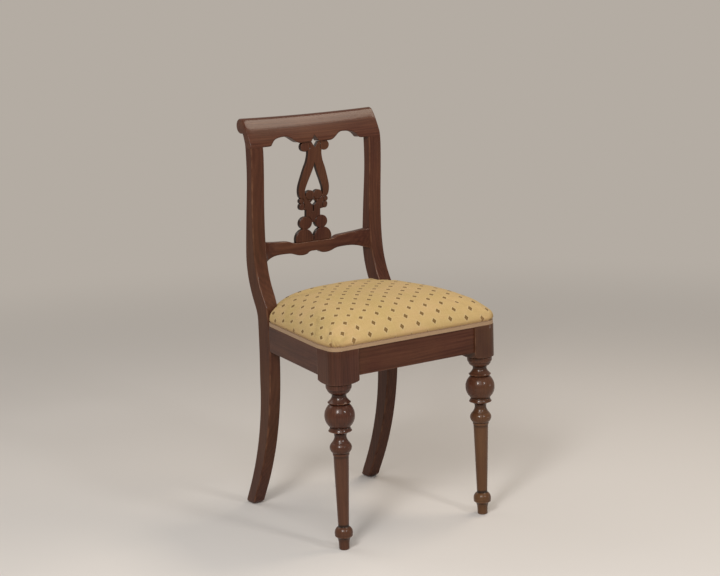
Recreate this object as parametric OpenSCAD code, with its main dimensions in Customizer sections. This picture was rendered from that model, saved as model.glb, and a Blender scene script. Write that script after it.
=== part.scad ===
// Scroll back dining chair with turned front legs, sabre back legs and a domed, stuffed seat.
// The chair stands on the floor at z = 0, faces -Y, and X runs across it.
// It is drawn with y = 0 in the plane of the front leg axes, and in_frame() moves it to the
// chair's own frame, whose origin lies on the floor under the middle of the chair.

/* [Overall] */
// Height of the crest rail at its ends
chair_h = 890; // [860:1:930]
// Height of the top of the seat rails
seat_h = 436; // [420:1:455]
// Distance between the axes of the front legs
leg_spacing = 374.5; // [350:0.5:400]
// Distance from the front leg axes to the front faces of the back posts
seat_run = 292; // [270:1:320]
// Width over the back posts
back_w = 350; // [340:1:356]

/* [Front legs] */
// Height of the square block at the top of a front leg, with its turned shoulder
block_h = 76; // [72:0.5:84]
// Rise of the turned shoulder under the block
shoulder_h = 11; // [8:0.5:13]
// Reach of the block from the leg axis towards the outside of the chair
block_out = 30; // [29:0.25:33]
// Reach of the block from the leg axis towards the inside of the chair
block_in = 34; // [32:0.5:38]
// Radius of the block's outer corner
block_corner_r = 25; // [15:0.5:28]
// Height of the cup under the block
cup_h = 16.5; // [14:0.5:20]
// Radius of the cup
cup_r = 27.2; // [25:0.1:29]
// Radius of the cup's foot
cup_foot_r = 21.8; // [20:0.1:24]
// Height of the neck above the ball
upper_neck_h = 21.5; // [18:0.5:25]
// Radius of the neck above the ball
upper_neck_r = 15.7; // [13:0.1:18]
// Height of the collar on the ball
upper_collar_h = 4.3; // [3:0.1:6]
// Radius of the collar on the ball
upper_collar_r = 24.3; // [23:0.1:27]
// Radius of the ball
ball_r = 32.3; // [30.5:0.1:34]
// Radius at which the collars meet the ball
ball_seat_r = 21; // [18:0.1:22.5]
// Height of the collar under the ball
lower_collar_h = 11.6; // [9:0.1:14]
// Radius of the collar under the ball
lower_collar_r = 23.7; // [22.6:0.1:26]
// Height of the neck under the ball
lower_neck_h = 22; // [18:0.5:26]
// Radius at the middle of the neck under the ball
lower_neck_r = 12.2; // [10:0.1:15]
// Radius of the two ends of the neck under the ball
neck_end_r = 18; // [16.5:0.1:20]
// Height of the bead
bead_h = 20.5; // [17:0.5:24]
// Radius of the bead
bead_r = 23; // [20.5:0.1:26]
// Height of the ring at the top of the shaft
ring_h = 8; // [6:0.5:11]
// How far the ring stands out from the shaft
ring_rise = 1.4; // [0.8:0.1:2.5]
// Radius of the shaft at the top
shaft_top_r = 16.4; // [14.5:0.1:17.5]
// Radius of the shaft at the bottom
shaft_low_r = 11.6; // [10:0.1:13]
// Height of the knob over the toe
knob_h = 25; // [20:0.5:30]
// Radius of the knob
knob_r = 18.5; // [16:0.1:21]
// Height of the toe
toe_h = 26; // [20:0.5:32]
// Radius of the toe at its top
toe_top_r = 14; // [12:0.1:15.5]
// Radius of the toe at the floor
toe_r = 10.5; // [9:0.1:12]

/* [Back posts] */
// Depth of a post at the seat
post_depth = 46.5; // [44:0.5:50]
// Width of a post at the seat and below
post_w = 27.5; // [26:0.5:30]
// Width of a post above the seat
stile_w = 31.6; // [30:0.2:34]
// Height above the seat rails at which the post has its full width
widening_h = 64; // [50:1:80]
// How far the front edge of the foot stands behind the front face of the post
front_splay = 101; // [85:1:115]
// How far the rear edge of the foot stands behind the rear face of the post
rear_splay = 87; // [75:1:100]
// Height at which the front edge starts to curve back to the foot
front_splay_h = 380; // [350:1:395]
// Height at which the rear edge starts to curve back to the foot
rear_splay_h = 300; // [270:1:330]
// Bevel round the sole of a back foot
foot_ease = 4; // [2:0.5:6]
// Distance that the back sweeps rearward, from the post's front face to the scroll's centre
back_sweep = 86; // [78:1:94]
// Radius of the scroll along the crest
scroll_r = 15.5; // [13:0.1:17.5]

/* [Crest rail] */
// Height of the crest rail at its ends, above its joint with the posts
crest_h = 57.5; // [54:0.5:62]
// How far the middle of the crest stands behind its ends
crest_dish = 6; // [2:0.5:8]
// How far the middle of the crest's top lies under its ends
crest_dip = 4; // [1:0.5:6]
// Half width of the pierced diamonds at the crest and in the splat
diamond_half_w = 11; // [8:0.5:12]
// Half height of the pierced diamonds
diamond_half_h = 10; // [7:0.5:10]

/* [Lower back rail] */
// Height of the lower edge of the rail's ends over the seat rails
back_rail_rise = 131.5; // [126:0.5:138]
// Height of the rail at its ends
back_rail_h = 48.3; // [44:0.1:52]
// Thickness of the rail
back_rail_t = 18; // [16:0.5:20]
// How far the rail's middle stands behind its ends
back_rail_dish = 20; // [16:0.5:22]
// How far the rail's ends stand behind the front faces of the posts
back_rail_inset = 2; // [1:0.25:3.5]

/* [Splat] */
// Thickness of the splat
splat_t = 14; // [11:0.5:15]
// Half width of the splat's main body
splat_half_w = 43; // [39:0.5:46]
// How far the splat's face stands behind the crest's face
splat_setback = 4; // [2:0.5:5]

/* [Seat rails] */
// Height of the seat rails
rail_h = 57.4; // [54:0.5:62]
// Thickness of the seat rails
rail_t = 22; // [20:0.5:24]
// How far the leg blocks stand proud of the front rail
front_reveal = 4; // [2:0.5:6]
// How far the leg blocks stand proud of the side rails
side_reveal = 1.3; // [0.5:0.1:2.5]
// Distance from the front faces of the posts to the rear rail
rear_rail_inset = 14; // [11:0.5:16]

/* [Corner blocks] */
// Length of a front corner block along the front rail
front_brace_run = 65; // [58:1:75]
// Length of a rear corner block along the rear rail
rear_brace_run = 45; // [40:1:60]
// Height of the corner blocks
brace_h = 42; // [40:1:50]

/* [Dowels and screws] */
// Diameter of the dowels in the seat rails and the crest
dowel_d = 8; // [6:0.5:8.5]
// Diameter of the dowels in the lower back rail and the splat
small_dowel_d = 6; // [4:0.5:6.5]
// Glue gap round a dowel and thread gap round a screw
fit_gap = 0.05; // [0.02:0.01:0.1]
// Empty space past the end of a dowel or a screw
end_gap = 0.6; // [0.4:0.1:1]
// Diameter of a screw's shank
screw_d = 4.5; // [4:0.5:5]
// Diameter of a screw's head
screw_head_d = 9; // [8:0.5:11]
// Height of a screw's head
screw_head_h = 2.8; // [2:0.2:3.5]
// Depth that the seat screws bite into the seat board
seat_screw_bite = 8; // [6:0.5:9.5]

/* [Seat] */
// Thickness of the seat board
board_t = 12; // [10:0.5:15]
// How far the seat stands back from the blocks' faces
seat_setback = 1; // [0.5:0.1:2]
// Space between the seat and the back posts
post_gap = 1; // [0.6:0.1:2]
// Thickness of the cover, a heavy woven cloth on its wadding
cover_t = 2; // [1.5:0.1:3]
// Height of the seat's upright edge
seat_edge_h = 24; // [18:0.5:28]
// Rise of the crown over the upright edge
seat_crown = 62; // [50:1:75]
// How far the gimp draws the sides in
side_draw = 1.5; // [0.5:0.1:2.5]
// Height of the gimp along the lower edge
gimp_h = 8; // [6:0.5:10]
// Thickness of the gimp
gimp_t = 1.2; // [0.8:0.1:1.6]

/* [Hidden] */
$fn = 48;

walnut = [0.36, 0.22, 0.16];
beech = [0.78, 0.66, 0.48];
steel = [0.70, 0.70, 0.72];
foam = [0.93, 0.90, 0.78];
straw = [0.82, 0.70, 0.45];
braid = [0.75, 0.58, 0.41];

// One overrun serves all cuts
over = dowel_d;
// Segments of one bulge of a turned profile, and of one stretch between two points of a spline
turn_steps = 8;
spline_steps = 4;

// Places along Y, as drawn
block_front_y = -block_out;
rail_front_y = block_front_y + front_reveal;
rail_back_y = rail_front_y + rail_t;
post_back_y = seat_run + post_depth;
rear_rail_y = seat_run + rear_rail_inset;
rear_rail_back_y = rear_rail_y + rail_t;

// Places along X
leg_x = leg_spacing / 2;
block_outer_x = leg_x + block_out;
block_inner_x = leg_x - block_in;
post_outer_x = back_w / 2;
post_inner_x = post_outer_x - post_w;
stile_inner_x = post_outer_x - stile_w;

// Heights
rail_low_z = seat_h - rail_h;
back_h = chair_h - seat_h;
crest_z = chair_h - crest_h;
back_rail_z = seat_h + back_rail_rise;

// The chair's own frame has its origin under the middle of the chair's box
rear_reach_y = post_back_y + rear_splay * pow(1 - foot_ease / rear_splay_h, 2);
mid_y = (rear_reach_y - max(ball_r, block_out)) / 2;
module in_frame() { translate([0, -mid_y, 0]) children(); }

// A curve from a to b that swells to the right of its travel by depth at its middle
function bulge(a, b, depth, n = turn_steps) = [for (i = [0:n])
    let(t = i / n, d = b - a) a + d * t + [d[1], -d[0]] / norm(d) * depth * 4 * t * (1 - t)];
// An arc about c, from angle a0 to a1
function arc(c, r, a0, a1, n) = [for (i = [0:n])
    let(a = a0 + (a1 - a0) * i / n) c + r * [cos(a), sin(a)]];
// The points from a towards b, without b itself
function towards(a, b, n) = [for (i = [0:n - 1]) a + (b - a) * i / n];
// A smooth curve through all of a list's points
function spline_point(p, q, r, s, t) = (2 * q + (r - p) * t + (2 * p - 5 * q + 4 * r - s) * t * t
    + (3 * q - p - 3 * r + s) * t * t * t) / 2;
function spline(p, n = spline_steps) = concat([for (i = [0:len(p) - 2], j = [0:n - 1])
    spline_point(p[max(i - 1, 0)], p[i], p[i + 1], p[min(i + 2, len(p) - 1)], j / n)],
    [p[len(p) - 1]]);
// A table of shares, scaled by its two sizes
function scaled(shares, a, b) = [for (s = shares) [s[0] * a, s[1] * b]];
function backwards(p) = [for (i = [len(p) - 1:-1:0]) p[i]];
function mirrored(p) = [for (i = [len(p) - 1:-1:0]) [-p[i][0], p[i][1]]];
function swapped(p) = [for (q = p) [q[1], q[0]]];

// Both sides of a mirrored pair
module both_sides() {
    children();
    mirror([1, 0, 0]) children();
}
// An outline in X and Z, carried back from y0 to y1
module across(y0, y1) {
    translate([0, y1, 0]) rotate([90, 0, 0]) linear_extrude(y1 - y0) children();
}
// An outline in Y and Z, carried from x0 to x1
module along(x0, x1) {
    translate([x0, 0, 0]) rotate([90, 0, 90]) linear_extrude(x1 - x0) children();
}
// An upright plate from z0 to z1
module plate(z0, z1) { translate([0, 0, z0]) linear_extrude(z1 - z0) children(); }

// FRONT LEGS
// The turned profile, from the block down to the toe, is a stack of named heights
cup_z = seat_h - block_h;
upper_neck_z = cup_z - cup_h;
upper_collar_z = upper_neck_z - upper_neck_h;
ball_half_h = sqrt(ball_r * ball_r - ball_seat_r * ball_seat_r);
ball_z = upper_collar_z - upper_collar_h - ball_half_h;
lower_collar_z = ball_z - ball_half_h;
lower_neck_z = lower_collar_z - lower_collar_h;
bead_z = lower_neck_z - lower_neck_h;
ring_z = bead_z - bead_h;
shaft_z = ring_z - ring_h;
ball_angle = acos(ball_seat_r / ball_r);
toe_ease = toe_r / 7;
toe_hollow = toe_top_r / 12;
knob_crown = knob_h / 10;
knob_side_share = 0.32;
knob_bevel_share = 0.16;
collar_lip_share = 0.4;
collar_rim_share = 0.2;
neck_foot_r = upper_neck_r * 1.05;
cup_rim_share = 0.25;
cup_foot_share = 0.1;
cup_swell = cup_h / 9;

leg_profile = concat(
    [[0, 0], [toe_r - toe_ease, 0]],
    bulge([toe_r, toe_ease], [toe_top_r, toe_h], -toe_hollow),
    [[knob_r, toe_h + knob_h * knob_bevel_share]],
    bulge([knob_r, toe_h + knob_h * (knob_bevel_share + knob_side_share)],
        [shaft_low_r, toe_h + knob_h], knob_crown),
    bulge([shaft_top_r, shaft_z], [shaft_top_r, ring_z], ring_rise),
    bulge([neck_end_r, ring_z], [neck_end_r, bead_z], bead_r - neck_end_r),
    bulge([neck_end_r, bead_z], [neck_end_r, lower_neck_z], lower_neck_r - neck_end_r),
    [[lower_collar_r, lower_neck_z + lower_collar_h * collar_lip_share],
        [lower_collar_r, lower_neck_z + lower_collar_h * (collar_lip_share + collar_rim_share)]],
    arc([0, ball_z], ball_r, -ball_angle, ball_angle, 3 * turn_steps),
    [[upper_collar_r, ball_z + ball_half_h + upper_collar_h * collar_rim_share]],
    bulge([upper_collar_r, upper_collar_z], [upper_neck_r, upper_neck_z - upper_neck_h / 3],
        -upper_collar_h / 2),
    bulge([neck_foot_r, upper_neck_z - upper_neck_h / 4], [cup_foot_r, upper_neck_z],
        -upper_collar_h / 2),
    bulge([cup_foot_r, upper_neck_z + cup_h * cup_foot_share],
        [cup_r, cup_z - cup_h * 2 * cup_rim_share], cup_swell),
    [[cup_r, cup_z - cup_h * cup_rim_share], [cup_r - cup_swell / 2, cup_z], [0, cup_z]]);

// The block in plan, about the leg axis: square, with a round outer corner
module block_plan() {
    difference() {
        translate([-block_in, -block_out])
            square([block_in + block_out, block_in + block_out]);
        translate([block_out - block_corner_r, -block_out])
            square([block_corner_r, block_corner_r]);
    }
    translate([block_out - block_corner_r, block_corner_r - block_out])
        circle(block_corner_r);
}

module front_leg() {
    block_reach = norm([block_in, block_in]);
    difference() {
        union() {
            translate([leg_x, 0, 0]) rotate_extrude() polygon(leg_profile);
            translate([leg_x, 0, 0]) intersection() {
                plate(cup_z, seat_h) block_plan();
                union() {
                    translate([0, 0, cup_z])
                        cylinder(h = shoulder_h, r1 = cup_r, r2 = block_reach);
                    translate([0, 0, cup_z + shoulder_h])
                        cylinder(h = block_h, r = block_reach + over);
                }
            }
        }
        front_rail_dowel_pair(fit_gap);
        side_rail_front_dowel_pair(fit_gap);
        brace_screw_bore(front_brace_foot, block_corner, screw_pilot_r);
    }
}
module front_leg_right() { color(walnut) in_frame() front_leg(); }
module front_leg_left() { color(walnut) in_frame() mirror([1, 0, 0]) front_leg(); }

// BACK POSTS AND CREST
// Side outline of the back above the seat, as shares of back_sweep and back_h
stile_front_shares = [[0.105, 0.099], [0.25, 0.139], [0.40, 0.195], [0.523, 0.269],
    [0.588, 0.38], [0.581, 0.54], [0.523, 0.714], [0.50, 0.825], [0.528, 0.877],
    [0.63, 0.915], [0.75, 0.955]];
stile_rear_shares = [[0.905, 0.927], [0.84, 0.90], [0.785, 0.855], [0.779, 0.709],
    [0.884, 0.509], [0.965, 0.357], [0.977, 0.297], [0.953, 0.258], [0.907, 0.209],
    [0.826, 0.161], [0.721, 0.112], [0.59, 0.068], [0.541, 0.035]];
// Angles at which the crest's face and the post's rear face run into the scroll
scroll_start = 150;
scroll_end = -96;
scroll_center = [seat_run + back_sweep, chair_h - scroll_r];
scroll_steps = 12;

function stile_points(shares) = [for (p = spline(scaled(shares, back_sweep, back_h)))
    [seat_run + p[0], seat_h + p[1]]];
stile_front = stile_points(stile_front_shares);
stile_rear = stile_points(stile_rear_shares);
scroll = arc(scroll_center, scroll_r, scroll_start, scroll_end, scroll_steps);

// The front edge of the leg and its rear edge curve back by a power law, up to the seat at most
leg_steps = 14;
splay_power = 1.9;
leg_front = concat([[seat_run + front_splay + foot_ease / 2, 0]],
    [for (i = [1:leg_steps]) let(z = front_splay_h * i / leg_steps) if (z < seat_h)
        [seat_run + front_splay * pow(1 - z / front_splay_h, splay_power), z]]);
leg_rear = concat(
    [for (i = [leg_steps:-1:1]) let(z = rear_splay_h * i / leg_steps) if (z < seat_h)
        [post_back_y + rear_splay * pow(1 - z / rear_splay_h, 2), z]],
    [[rear_reach_y, foot_ease], [rear_reach_y - foot_ease, 0]]);

// Upright face of the post at the joint with the crest
joint_front_y = lookup(crest_z, swapped(stile_front));
joint_rear_y = lookup(crest_z, swapped(backwards(stile_rear)));

module post_side() {
    polygon(concat(leg_front, [[seat_run, seat_h]],
        [for (p = stile_front) if (p[1] < crest_z) p],
        [[joint_front_y, crest_z], [joint_rear_y, crest_z]],
        [for (p = stile_rear) if (p[1] < crest_z) p],
        leg_rear));
}
module post_front() {
    polygon([[post_inner_x, -over], [post_outer_x, -over], [post_outer_x, chair_h],
        [stile_inner_x, chair_h], [stile_inner_x, seat_h + widening_h],
        [post_inner_x, seat_h]]);
}
module back_post() {
    difference() {
        intersection() {
            along(0, back_w) post_side();
            across(seat_run - over, rear_reach_y + over) post_front();
        }
        side_rail_rear_dowel_pair(fit_gap);
        rear_rail_dowel_pair(fit_gap);
        back_rail_dowel_pair(fit_gap);
        crest_dowel(fit_gap);
        brace_screw_bore(rear_brace_foot, post_corner, screw_pilot_r);
    }
}
module back_post_right() { color(walnut) in_frame() back_post(); }
module back_post_left() { color(walnut) in_frame() mirror([1, 0, 0]) back_post(); }

// Lower edge of the crest from its middle to its end: share of the half width, share of crest_h
crest_edge_shares = [[0, 0.165], [0.064, -0.06], [0.217, -0.06], [0.27, -0.02], [0.315, 0.07],
    [0.36, 0.19], [0.41, 0.285], [0.46, 0.305], [0.53, 0.285], [0.59, 0.25], [0.63, 0.19],
    [0.66, 0.09], [0.69, 0.005], [0.80, 0], [1, 0]];
crest_steps = 7;
function crest_edge_z(s) = crest_z + crest_h * lookup(abs(s), crest_edge_shares);
// The bow of the crest: 1 at its middle, 0 at its ends
function bow(s) = 1 - s * s;
// One section of the crest at share s of its half width, dished back and dipped at the top
function crest_section(s) =
    let(low = crest_edge_z(s), front_end = stile_front[len(stile_front) - 1], neck = stile_rear[0])
    [for (p = concat(
        [for (i = [0:crest_steps - 1]) let(z = low + (front_end[1] - low) * i / crest_steps)
            [lookup(z, swapped(stile_front)), z]],
        scroll,
        [for (i = [0:crest_steps]) let(z = neck[1] + (low - neck[1]) * i / crest_steps)
            [lookup(z, swapped(backwards(stile_rear))), z]]))
        [s * post_outer_x, p[0] + crest_dish * bow(s),
            p[1] - crest_dip * bow(s) * max(0, (p[1] - crest_z) / crest_h)]];
crest_stations = concat([for (i = [len(crest_edge_shares) - 1:-1:1]) -crest_edge_shares[i][0]],
    [for (e = crest_edge_shares) e[0]]);

// A solid that joins a row of rings with the same number of points, with flat ends
module loft(rings) {
    m = len(rings[0]);
    last = len(rings) - 1;
    polyhedron([for (r = rings) each r], concat(
        [[for (j = [0:m - 1]) j]],
        [[for (j = [m - 1:-1:0]) last * m + j]],
        [for (i = [0:last - 1], j = [0:m - 1]) let(k = (j + 1) % m)
            each [[i * m + j, (i + 1) * m + j, (i + 1) * m + k],
                [i * m + j, (i + 1) * m + k, i * m + k]]]));
}
module crest_rail() {
    color(walnut) in_frame() difference() {
        loft([for (s = crest_stations) crest_section(s)]);
        both_sides() {
            crest_dowel(fit_gap);
            splat_top_dowel(fit_gap);
        }
    }
}

// LOWER BACK RAIL
// Top and bottom edges from the middle to the end: share of the half length, share of the height
back_rail_top_shares = [[0, 0.67], [0.36, 0.67], [0.42, 0.73], [0.49, 0.79], [0.70, 0.84],
    [0.86, 0.90], [1, 1]];
back_rail_low_shares = [[0, 0.2], [0.056, 0.2], [0.10, 0.16], [0.14, 0.08], [0.22, 0.05],
    [0.31, 0.08], [0.40, 0.17], [0.49, 0.215], [0.70, 0.22], [0.85, 0.15], [1, 0]];
// The rail is straight in the middle and turns forward to the posts by a high power
back_rail_power = 7;
back_rail_end_y = lookup(back_rail_z + back_rail_h / 2, swapped(stile_front)) + back_rail_inset;
function back_rail_y(s) = back_rail_end_y + back_rail_dish * (1 - pow(abs(s), back_rail_power));
plan_steps = 20;
rail_stations = [for (i = [-plan_steps:plan_steps]) i / plan_steps];
splat_low_z = back_rail_z + back_rail_h * back_rail_top_shares[0][1];

function back_rail_edge(shares) = [for (p = scaled(shares, stile_inner_x, back_rail_h))
    [p[0], p[1] + back_rail_z]];
module back_rail_front() {
    top = back_rail_edge(back_rail_top_shares);
    low = back_rail_edge(back_rail_low_shares);
    polygon(concat(mirrored(top), top, backwards(low), [for (p = low) [-p[0], p[1]]]));
}
module back_rail_plan() {
    polygon(concat(
        [for (s = rail_stations) [s * stile_inner_x, back_rail_y(s)]],
        [for (i = [len(rail_stations) - 1:-1:0]) let(s = rail_stations[i])
            [s * stile_inner_x, back_rail_y(s) + back_rail_t]]));
}
module lower_back_rail() {
    color(walnut) in_frame() difference() {
        intersection() {
            across(seat_run, rear_reach_y) back_rail_front();
            plate(seat_h, chair_h) back_rail_plan();
        }
        both_sides() {
            back_rail_dowel_pair(fit_gap);
            splat_low_dowel(fit_gap);
        }
    }
}

// SPLAT
// Its outline hangs from the crest at splat_top_z and stands on the lower rail at splat_low_z
splat_top_z = crest_edge_z(crest_edge_shares[1][0]);
splat_h = splat_top_z - splat_low_z;
crest_face_y = lookup(splat_top_z, swapped(stile_front)) + crest_dish;
splat_top_y = crest_face_y + splat_setback;
splat_low_y = back_rail_y(0) + (back_rail_t - splat_t) / 2;
// The splat's lean: share of its height, share of the way from the lower rail to the crest
splat_lean_shares = [[0, 0], [0.18, 0.01], [0.40, 0.14], [0.58, 0.45], [0.76, 0.78], [0.9, 0.94],
    [1, 1]];
// Half outlines, as shares of splat_half_w and splat_h, from the bottom up
splat_body_shares = [[0.48, 0.22], [0.48, 0.335], [0.80, 0.34], [0.86, 0.44], [0.98, 0.475],
    [1.01, 0.55], [0.92, 0.615], [0.74, 0.715], [0.56, 0.81], [0.44, 0.905], [0.48, 1]];
splat_opening_shares = [[0.53, 0.46], [0.53, 0.52], [0.35, 0.615], [0.19, 0.695], [0, 0.76]];
// Round lobes: the middle and the reach of each, across as shares of the half width and
// upwards as shares of the height: [middle across, middle up, reach across, reach up]
splat_lobe_shares = [[0.64, 0.965, 0.26, 0.0488], [0.80, 0.425, 0.15, 0.0282],
    [0.80, 0.372, 0.15, 0.0282], [0.51, 0.20, 0.385, 0.0723], [0.65, 0.048, 0.545, 0.1023]];
lobe_steps = 40;
// The two round bumps that close the opening from below
bump_shares = [0.245, 0.475, 0.265, 0.0497];
eye_z = splat_low_z + splat_h * 0.397;
eye_share = 0.8;
slit_share = 0.12;
slit_len = splat_h * 0.055;
gap_fill_shares = [0.19, 0.052];

module lobe(s) {
    polygon([for (i = [0:lobe_steps - 1]) let(a = 360 * i / lobe_steps)
        [(s[0] + s[2] * cos(a)) * splat_half_w, splat_low_z + (s[1] + s[3] * sin(a)) * splat_h]]);
}
function splat_side(shares) = [for (p = scaled(shares, splat_half_w, splat_h))
    [p[0], p[1] + splat_low_z]];
// A diamond hole about z, with a slit under it
module pierced_diamond(z, share) {
    w = diamond_half_w * share;
    h = diamond_half_h * share;
    slit = diamond_half_w * slit_share;
    polygon([[-w, z], [-slit, z - h], [-slit, z - h - slit_len], [slit, z - h - slit_len],
        [slit, z - h], [w, z], [0, z + h]]);
}
module splat_front() {
    body = splat_side(splat_body_shares);
    opening = splat_side(splat_opening_shares);
    difference() {
        intersection() {
            union() {
                polygon(concat(body, mirrored(body)));
                both_sides() {
                    for (s = splat_lobe_shares) lobe(s);
                    translate([0, splat_low_z])
                        square([splat_half_w * gap_fill_shares[0], splat_h * gap_fill_shares[1]]);
                }
            }
            translate([-splat_half_w * 2, splat_low_z]) square([splat_half_w * 4, splat_h]);
        }
        difference() {
            polygon(concat(opening, mirrored(opening)));
            both_sides() lobe(bump_shares);
        }
        pierced_diamond(eye_z, eye_share);
        pierced_diamond(crest_edge_z(0) - diamond_half_h, 1);
    }
}
function splat_face(y) = [for (p = spline(splat_lean_shares))
    [y + (splat_top_y - splat_low_y) * p[1], splat_low_z + splat_h * p[0]]];
module back_splat() {
    color(walnut) in_frame() difference() {
        intersection() {
            across(seat_run, rear_reach_y) splat_front();
            along(-post_outer_x, post_outer_x) polygon(concat(splat_face(splat_low_y),
                backwards(splat_face(splat_low_y + splat_t))));
        }
        both_sides() {
            splat_top_dowel(fit_gap);
            splat_low_dowel(fit_gap);
        }
    }
}

// SEAT RAILS
// The side rails taper inward to the posts. side_x is their outer face at y
side_front_x = block_outer_x - side_reveal;
taper = (side_front_x - post_outer_x) / (seat_run - block_in);
function side_x(y) = side_front_x - taper * (y - block_in);
side_angle = atan(taper);
side_t = rail_t / cos(side_angle);

module front_seat_rail() {
    color(walnut) in_frame() difference() {
        translate([-block_inner_x, rail_front_y, rail_low_z])
            cube([2 * block_inner_x, rail_t, rail_h]);
        both_sides() front_rail_dowel_pair(fit_gap);
    }
}
module rear_seat_rail() {
    color(walnut) in_frame() difference() {
        translate([-post_inner_x, rear_rail_y, rail_low_z])
            cube([2 * post_inner_x, rail_t, rail_h]);
        both_sides() rear_rail_dowel_pair(fit_gap);
    }
}
module side_rail() {
    difference() {
        plate(rail_low_z, seat_h) polygon([[side_x(block_in), block_in],
            [side_x(seat_run), seat_run], [side_x(seat_run) - side_t, seat_run],
            [side_x(block_in) - side_t, block_in]]);
        side_rail_front_dowel_pair(fit_gap);
        side_rail_rear_dowel_pair(fit_gap);
    }
}
module side_seat_rail_right() { color(walnut) in_frame() side_rail(); }
module side_seat_rail_left() { color(walnut) in_frame() mirror([1, 0, 0]) side_rail(); }

// DOWELS
// Each joint of the seat frame has two dowels, one above the other
dowel_pitch = rail_h / 2;
dowel_bury = dowel_d * 2.25;
shallow_bury = post_w / 2;
small_bury = small_dowel_d * 2;
// A dowel through p along direction d, half of it on each side, grown by gap for its bore
module dowel(p, angle, r, reach_in, reach_out, gap) {
    spare = gap > 0 ? end_gap : 0;
    translate(p) rotate([0, 90, angle]) translate([0, 0, -reach_in - spare])
        cylinder(h = reach_in + reach_out + 2 * spare, r = r + gap);
}
module dowel_pair(p, angle, r, reach_in, reach_out, pitch, gap) {
    for (side = [-1, 1])
        dowel(p + [0, 0, side * pitch / 2], angle, r, reach_in, reach_out, gap);
}
rail_mid_z = seat_h - rail_h / 2;
module front_rail_dowel_pair(gap) {
    dowel_pair([block_inner_x, rail_front_y + rail_t / 2, rail_mid_z], 0,
        dowel_d / 2, dowel_bury, dowel_bury, dowel_pitch, gap);
}
module rear_rail_dowel_pair(gap) {
    dowel_pair([post_inner_x, rear_rail_y + rail_t / 2, rail_mid_z], 0,
        dowel_d / 2, dowel_bury, shallow_bury, dowel_pitch, gap);
}
module side_rail_front_dowel_pair(gap) {
    dowel_pair([side_x(block_in) - side_t / 2, block_in, rail_mid_z], 90 + side_angle,
        dowel_d / 2, dowel_bury, dowel_bury, dowel_pitch, gap);
}
module side_rail_rear_dowel_pair(gap) {
    dowel_pair([side_x(seat_run) - side_t / 2, seat_run, rail_mid_z], 90 + side_angle,
        dowel_d / 2, dowel_bury, shallow_bury, dowel_pitch, gap);
}
// These sit near the rear face, where the rail's turned-in end is thick enough
module back_rail_dowel_pair(gap) {
    dowel_pair([stile_inner_x, back_rail_end_y + back_rail_t - small_dowel_d * 0.8,
        back_rail_z + back_rail_h * 0.54], 0,
        small_dowel_d / 2, small_bury, small_bury, back_rail_h / 2, gap);
}
module upright_dowel(p, r, reach_down, reach_up, gap) {
    spare = gap > 0 ? end_gap : 0;
    translate(p - [0, 0, reach_down + spare])
        cylinder(h = reach_down + reach_up + 2 * spare, r = r + gap);
}
module crest_dowel(gap) {
    upright_dowel([post_outer_x - stile_w / 2, (joint_front_y + joint_rear_y) / 2 + dowel_d / 3,
        crest_z], dowel_d / 2, dowel_bury, dowel_bury * 0.85, gap);
}
splat_dowel_x = splat_half_w * splat_lobe_shares[0][0];
module splat_top_dowel(gap) {
    upright_dowel([splat_dowel_x, splat_top_y + splat_t / 2, splat_top_z],
        small_dowel_d / 2, small_bury * 0.8, small_bury * 0.8, gap);
}
module splat_low_dowel(gap) {
    upright_dowel([splat_dowel_x, splat_low_y + splat_t / 2, splat_low_z],
        small_dowel_d / 2, small_bury, small_bury, gap);
}
module front_rail_dowels() { color(beech) in_frame() both_sides() front_rail_dowel_pair(0); }
module rear_rail_dowels() { color(beech) in_frame() both_sides() rear_rail_dowel_pair(0); }
module side_rail_dowels() {
    color(beech) in_frame() both_sides() {
        side_rail_front_dowel_pair(0);
        side_rail_rear_dowel_pair(0);
    }
}
module back_rail_dowels() { color(beech) in_frame() both_sides() back_rail_dowel_pair(0); }
module crest_dowels() { color(beech) in_frame() both_sides() crest_dowel(0); }
module splat_dowels() {
    color(beech) in_frame() both_sides() {
        splat_top_dowel(0);
        splat_low_dowel(0);
    }
}

// CORNER BLOCKS AND SCREWS
// A corner block fills the corner between two rails, notched round the leg or the post.
// Its slanted face is at 45 degrees, and its screw runs square to that face into the corner.
block_corner = [block_inner_x, block_in];
post_corner = [post_inner_x, seat_run];
function inner_side_x(y) = side_x(y) - side_t;
front_brace_start = [block_inner_x - front_brace_run, rail_back_y];
front_brace_span = (inner_side_x(rail_back_y) - front_brace_start[0]) / (1 + taper);
front_brace_end = front_brace_start + [front_brace_span, front_brace_span];
rear_brace_start = [post_inner_x - rear_brace_run, rear_rail_y];
rear_brace_span = (inner_side_x(rear_rail_y) - rear_brace_start[0]) / (1 - taper);
rear_brace_end = rear_brace_start + [rear_brace_span, -rear_brace_span];
// The point of the slanted face that lies opposite the leg's or the post's corner
function foot_of(start, corner, dir) = start + dir * ((corner - start) * dir);
front_brace_dir = [1, 1] / sqrt(2);
rear_brace_dir = [1, -1] / sqrt(2);
front_brace_foot = foot_of(front_brace_start, block_corner, front_brace_dir);
rear_brace_foot = foot_of(rear_brace_start, post_corner, rear_brace_dir);
brace_low_z = seat_h - brace_h;
screw_r = screw_d / 2;
screw_pilot_r = screw_r + fit_gap;
screw_hole_r = screw_r * 1.1;
corner_screw_bite = screw_d * 4;
// The corner screws pass between the upper and the lower dowels
brace_screw_z = rail_mid_z;
// The seat screws stand beside the corner screws, further along the slanted face
seat_screw_depth = screw_head_d * 0.9;
front_screw_in = [1, -1] / sqrt(2);
rear_screw_in = [1, 1] / sqrt(2);
front_seat_screw = front_brace_foot + front_brace_dir * front_brace_run / 2
    + front_screw_in * seat_screw_depth;
rear_seat_screw = rear_brace_foot - rear_brace_dir * rear_brace_run / 2
    + rear_screw_in * seat_screw_depth;

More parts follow.
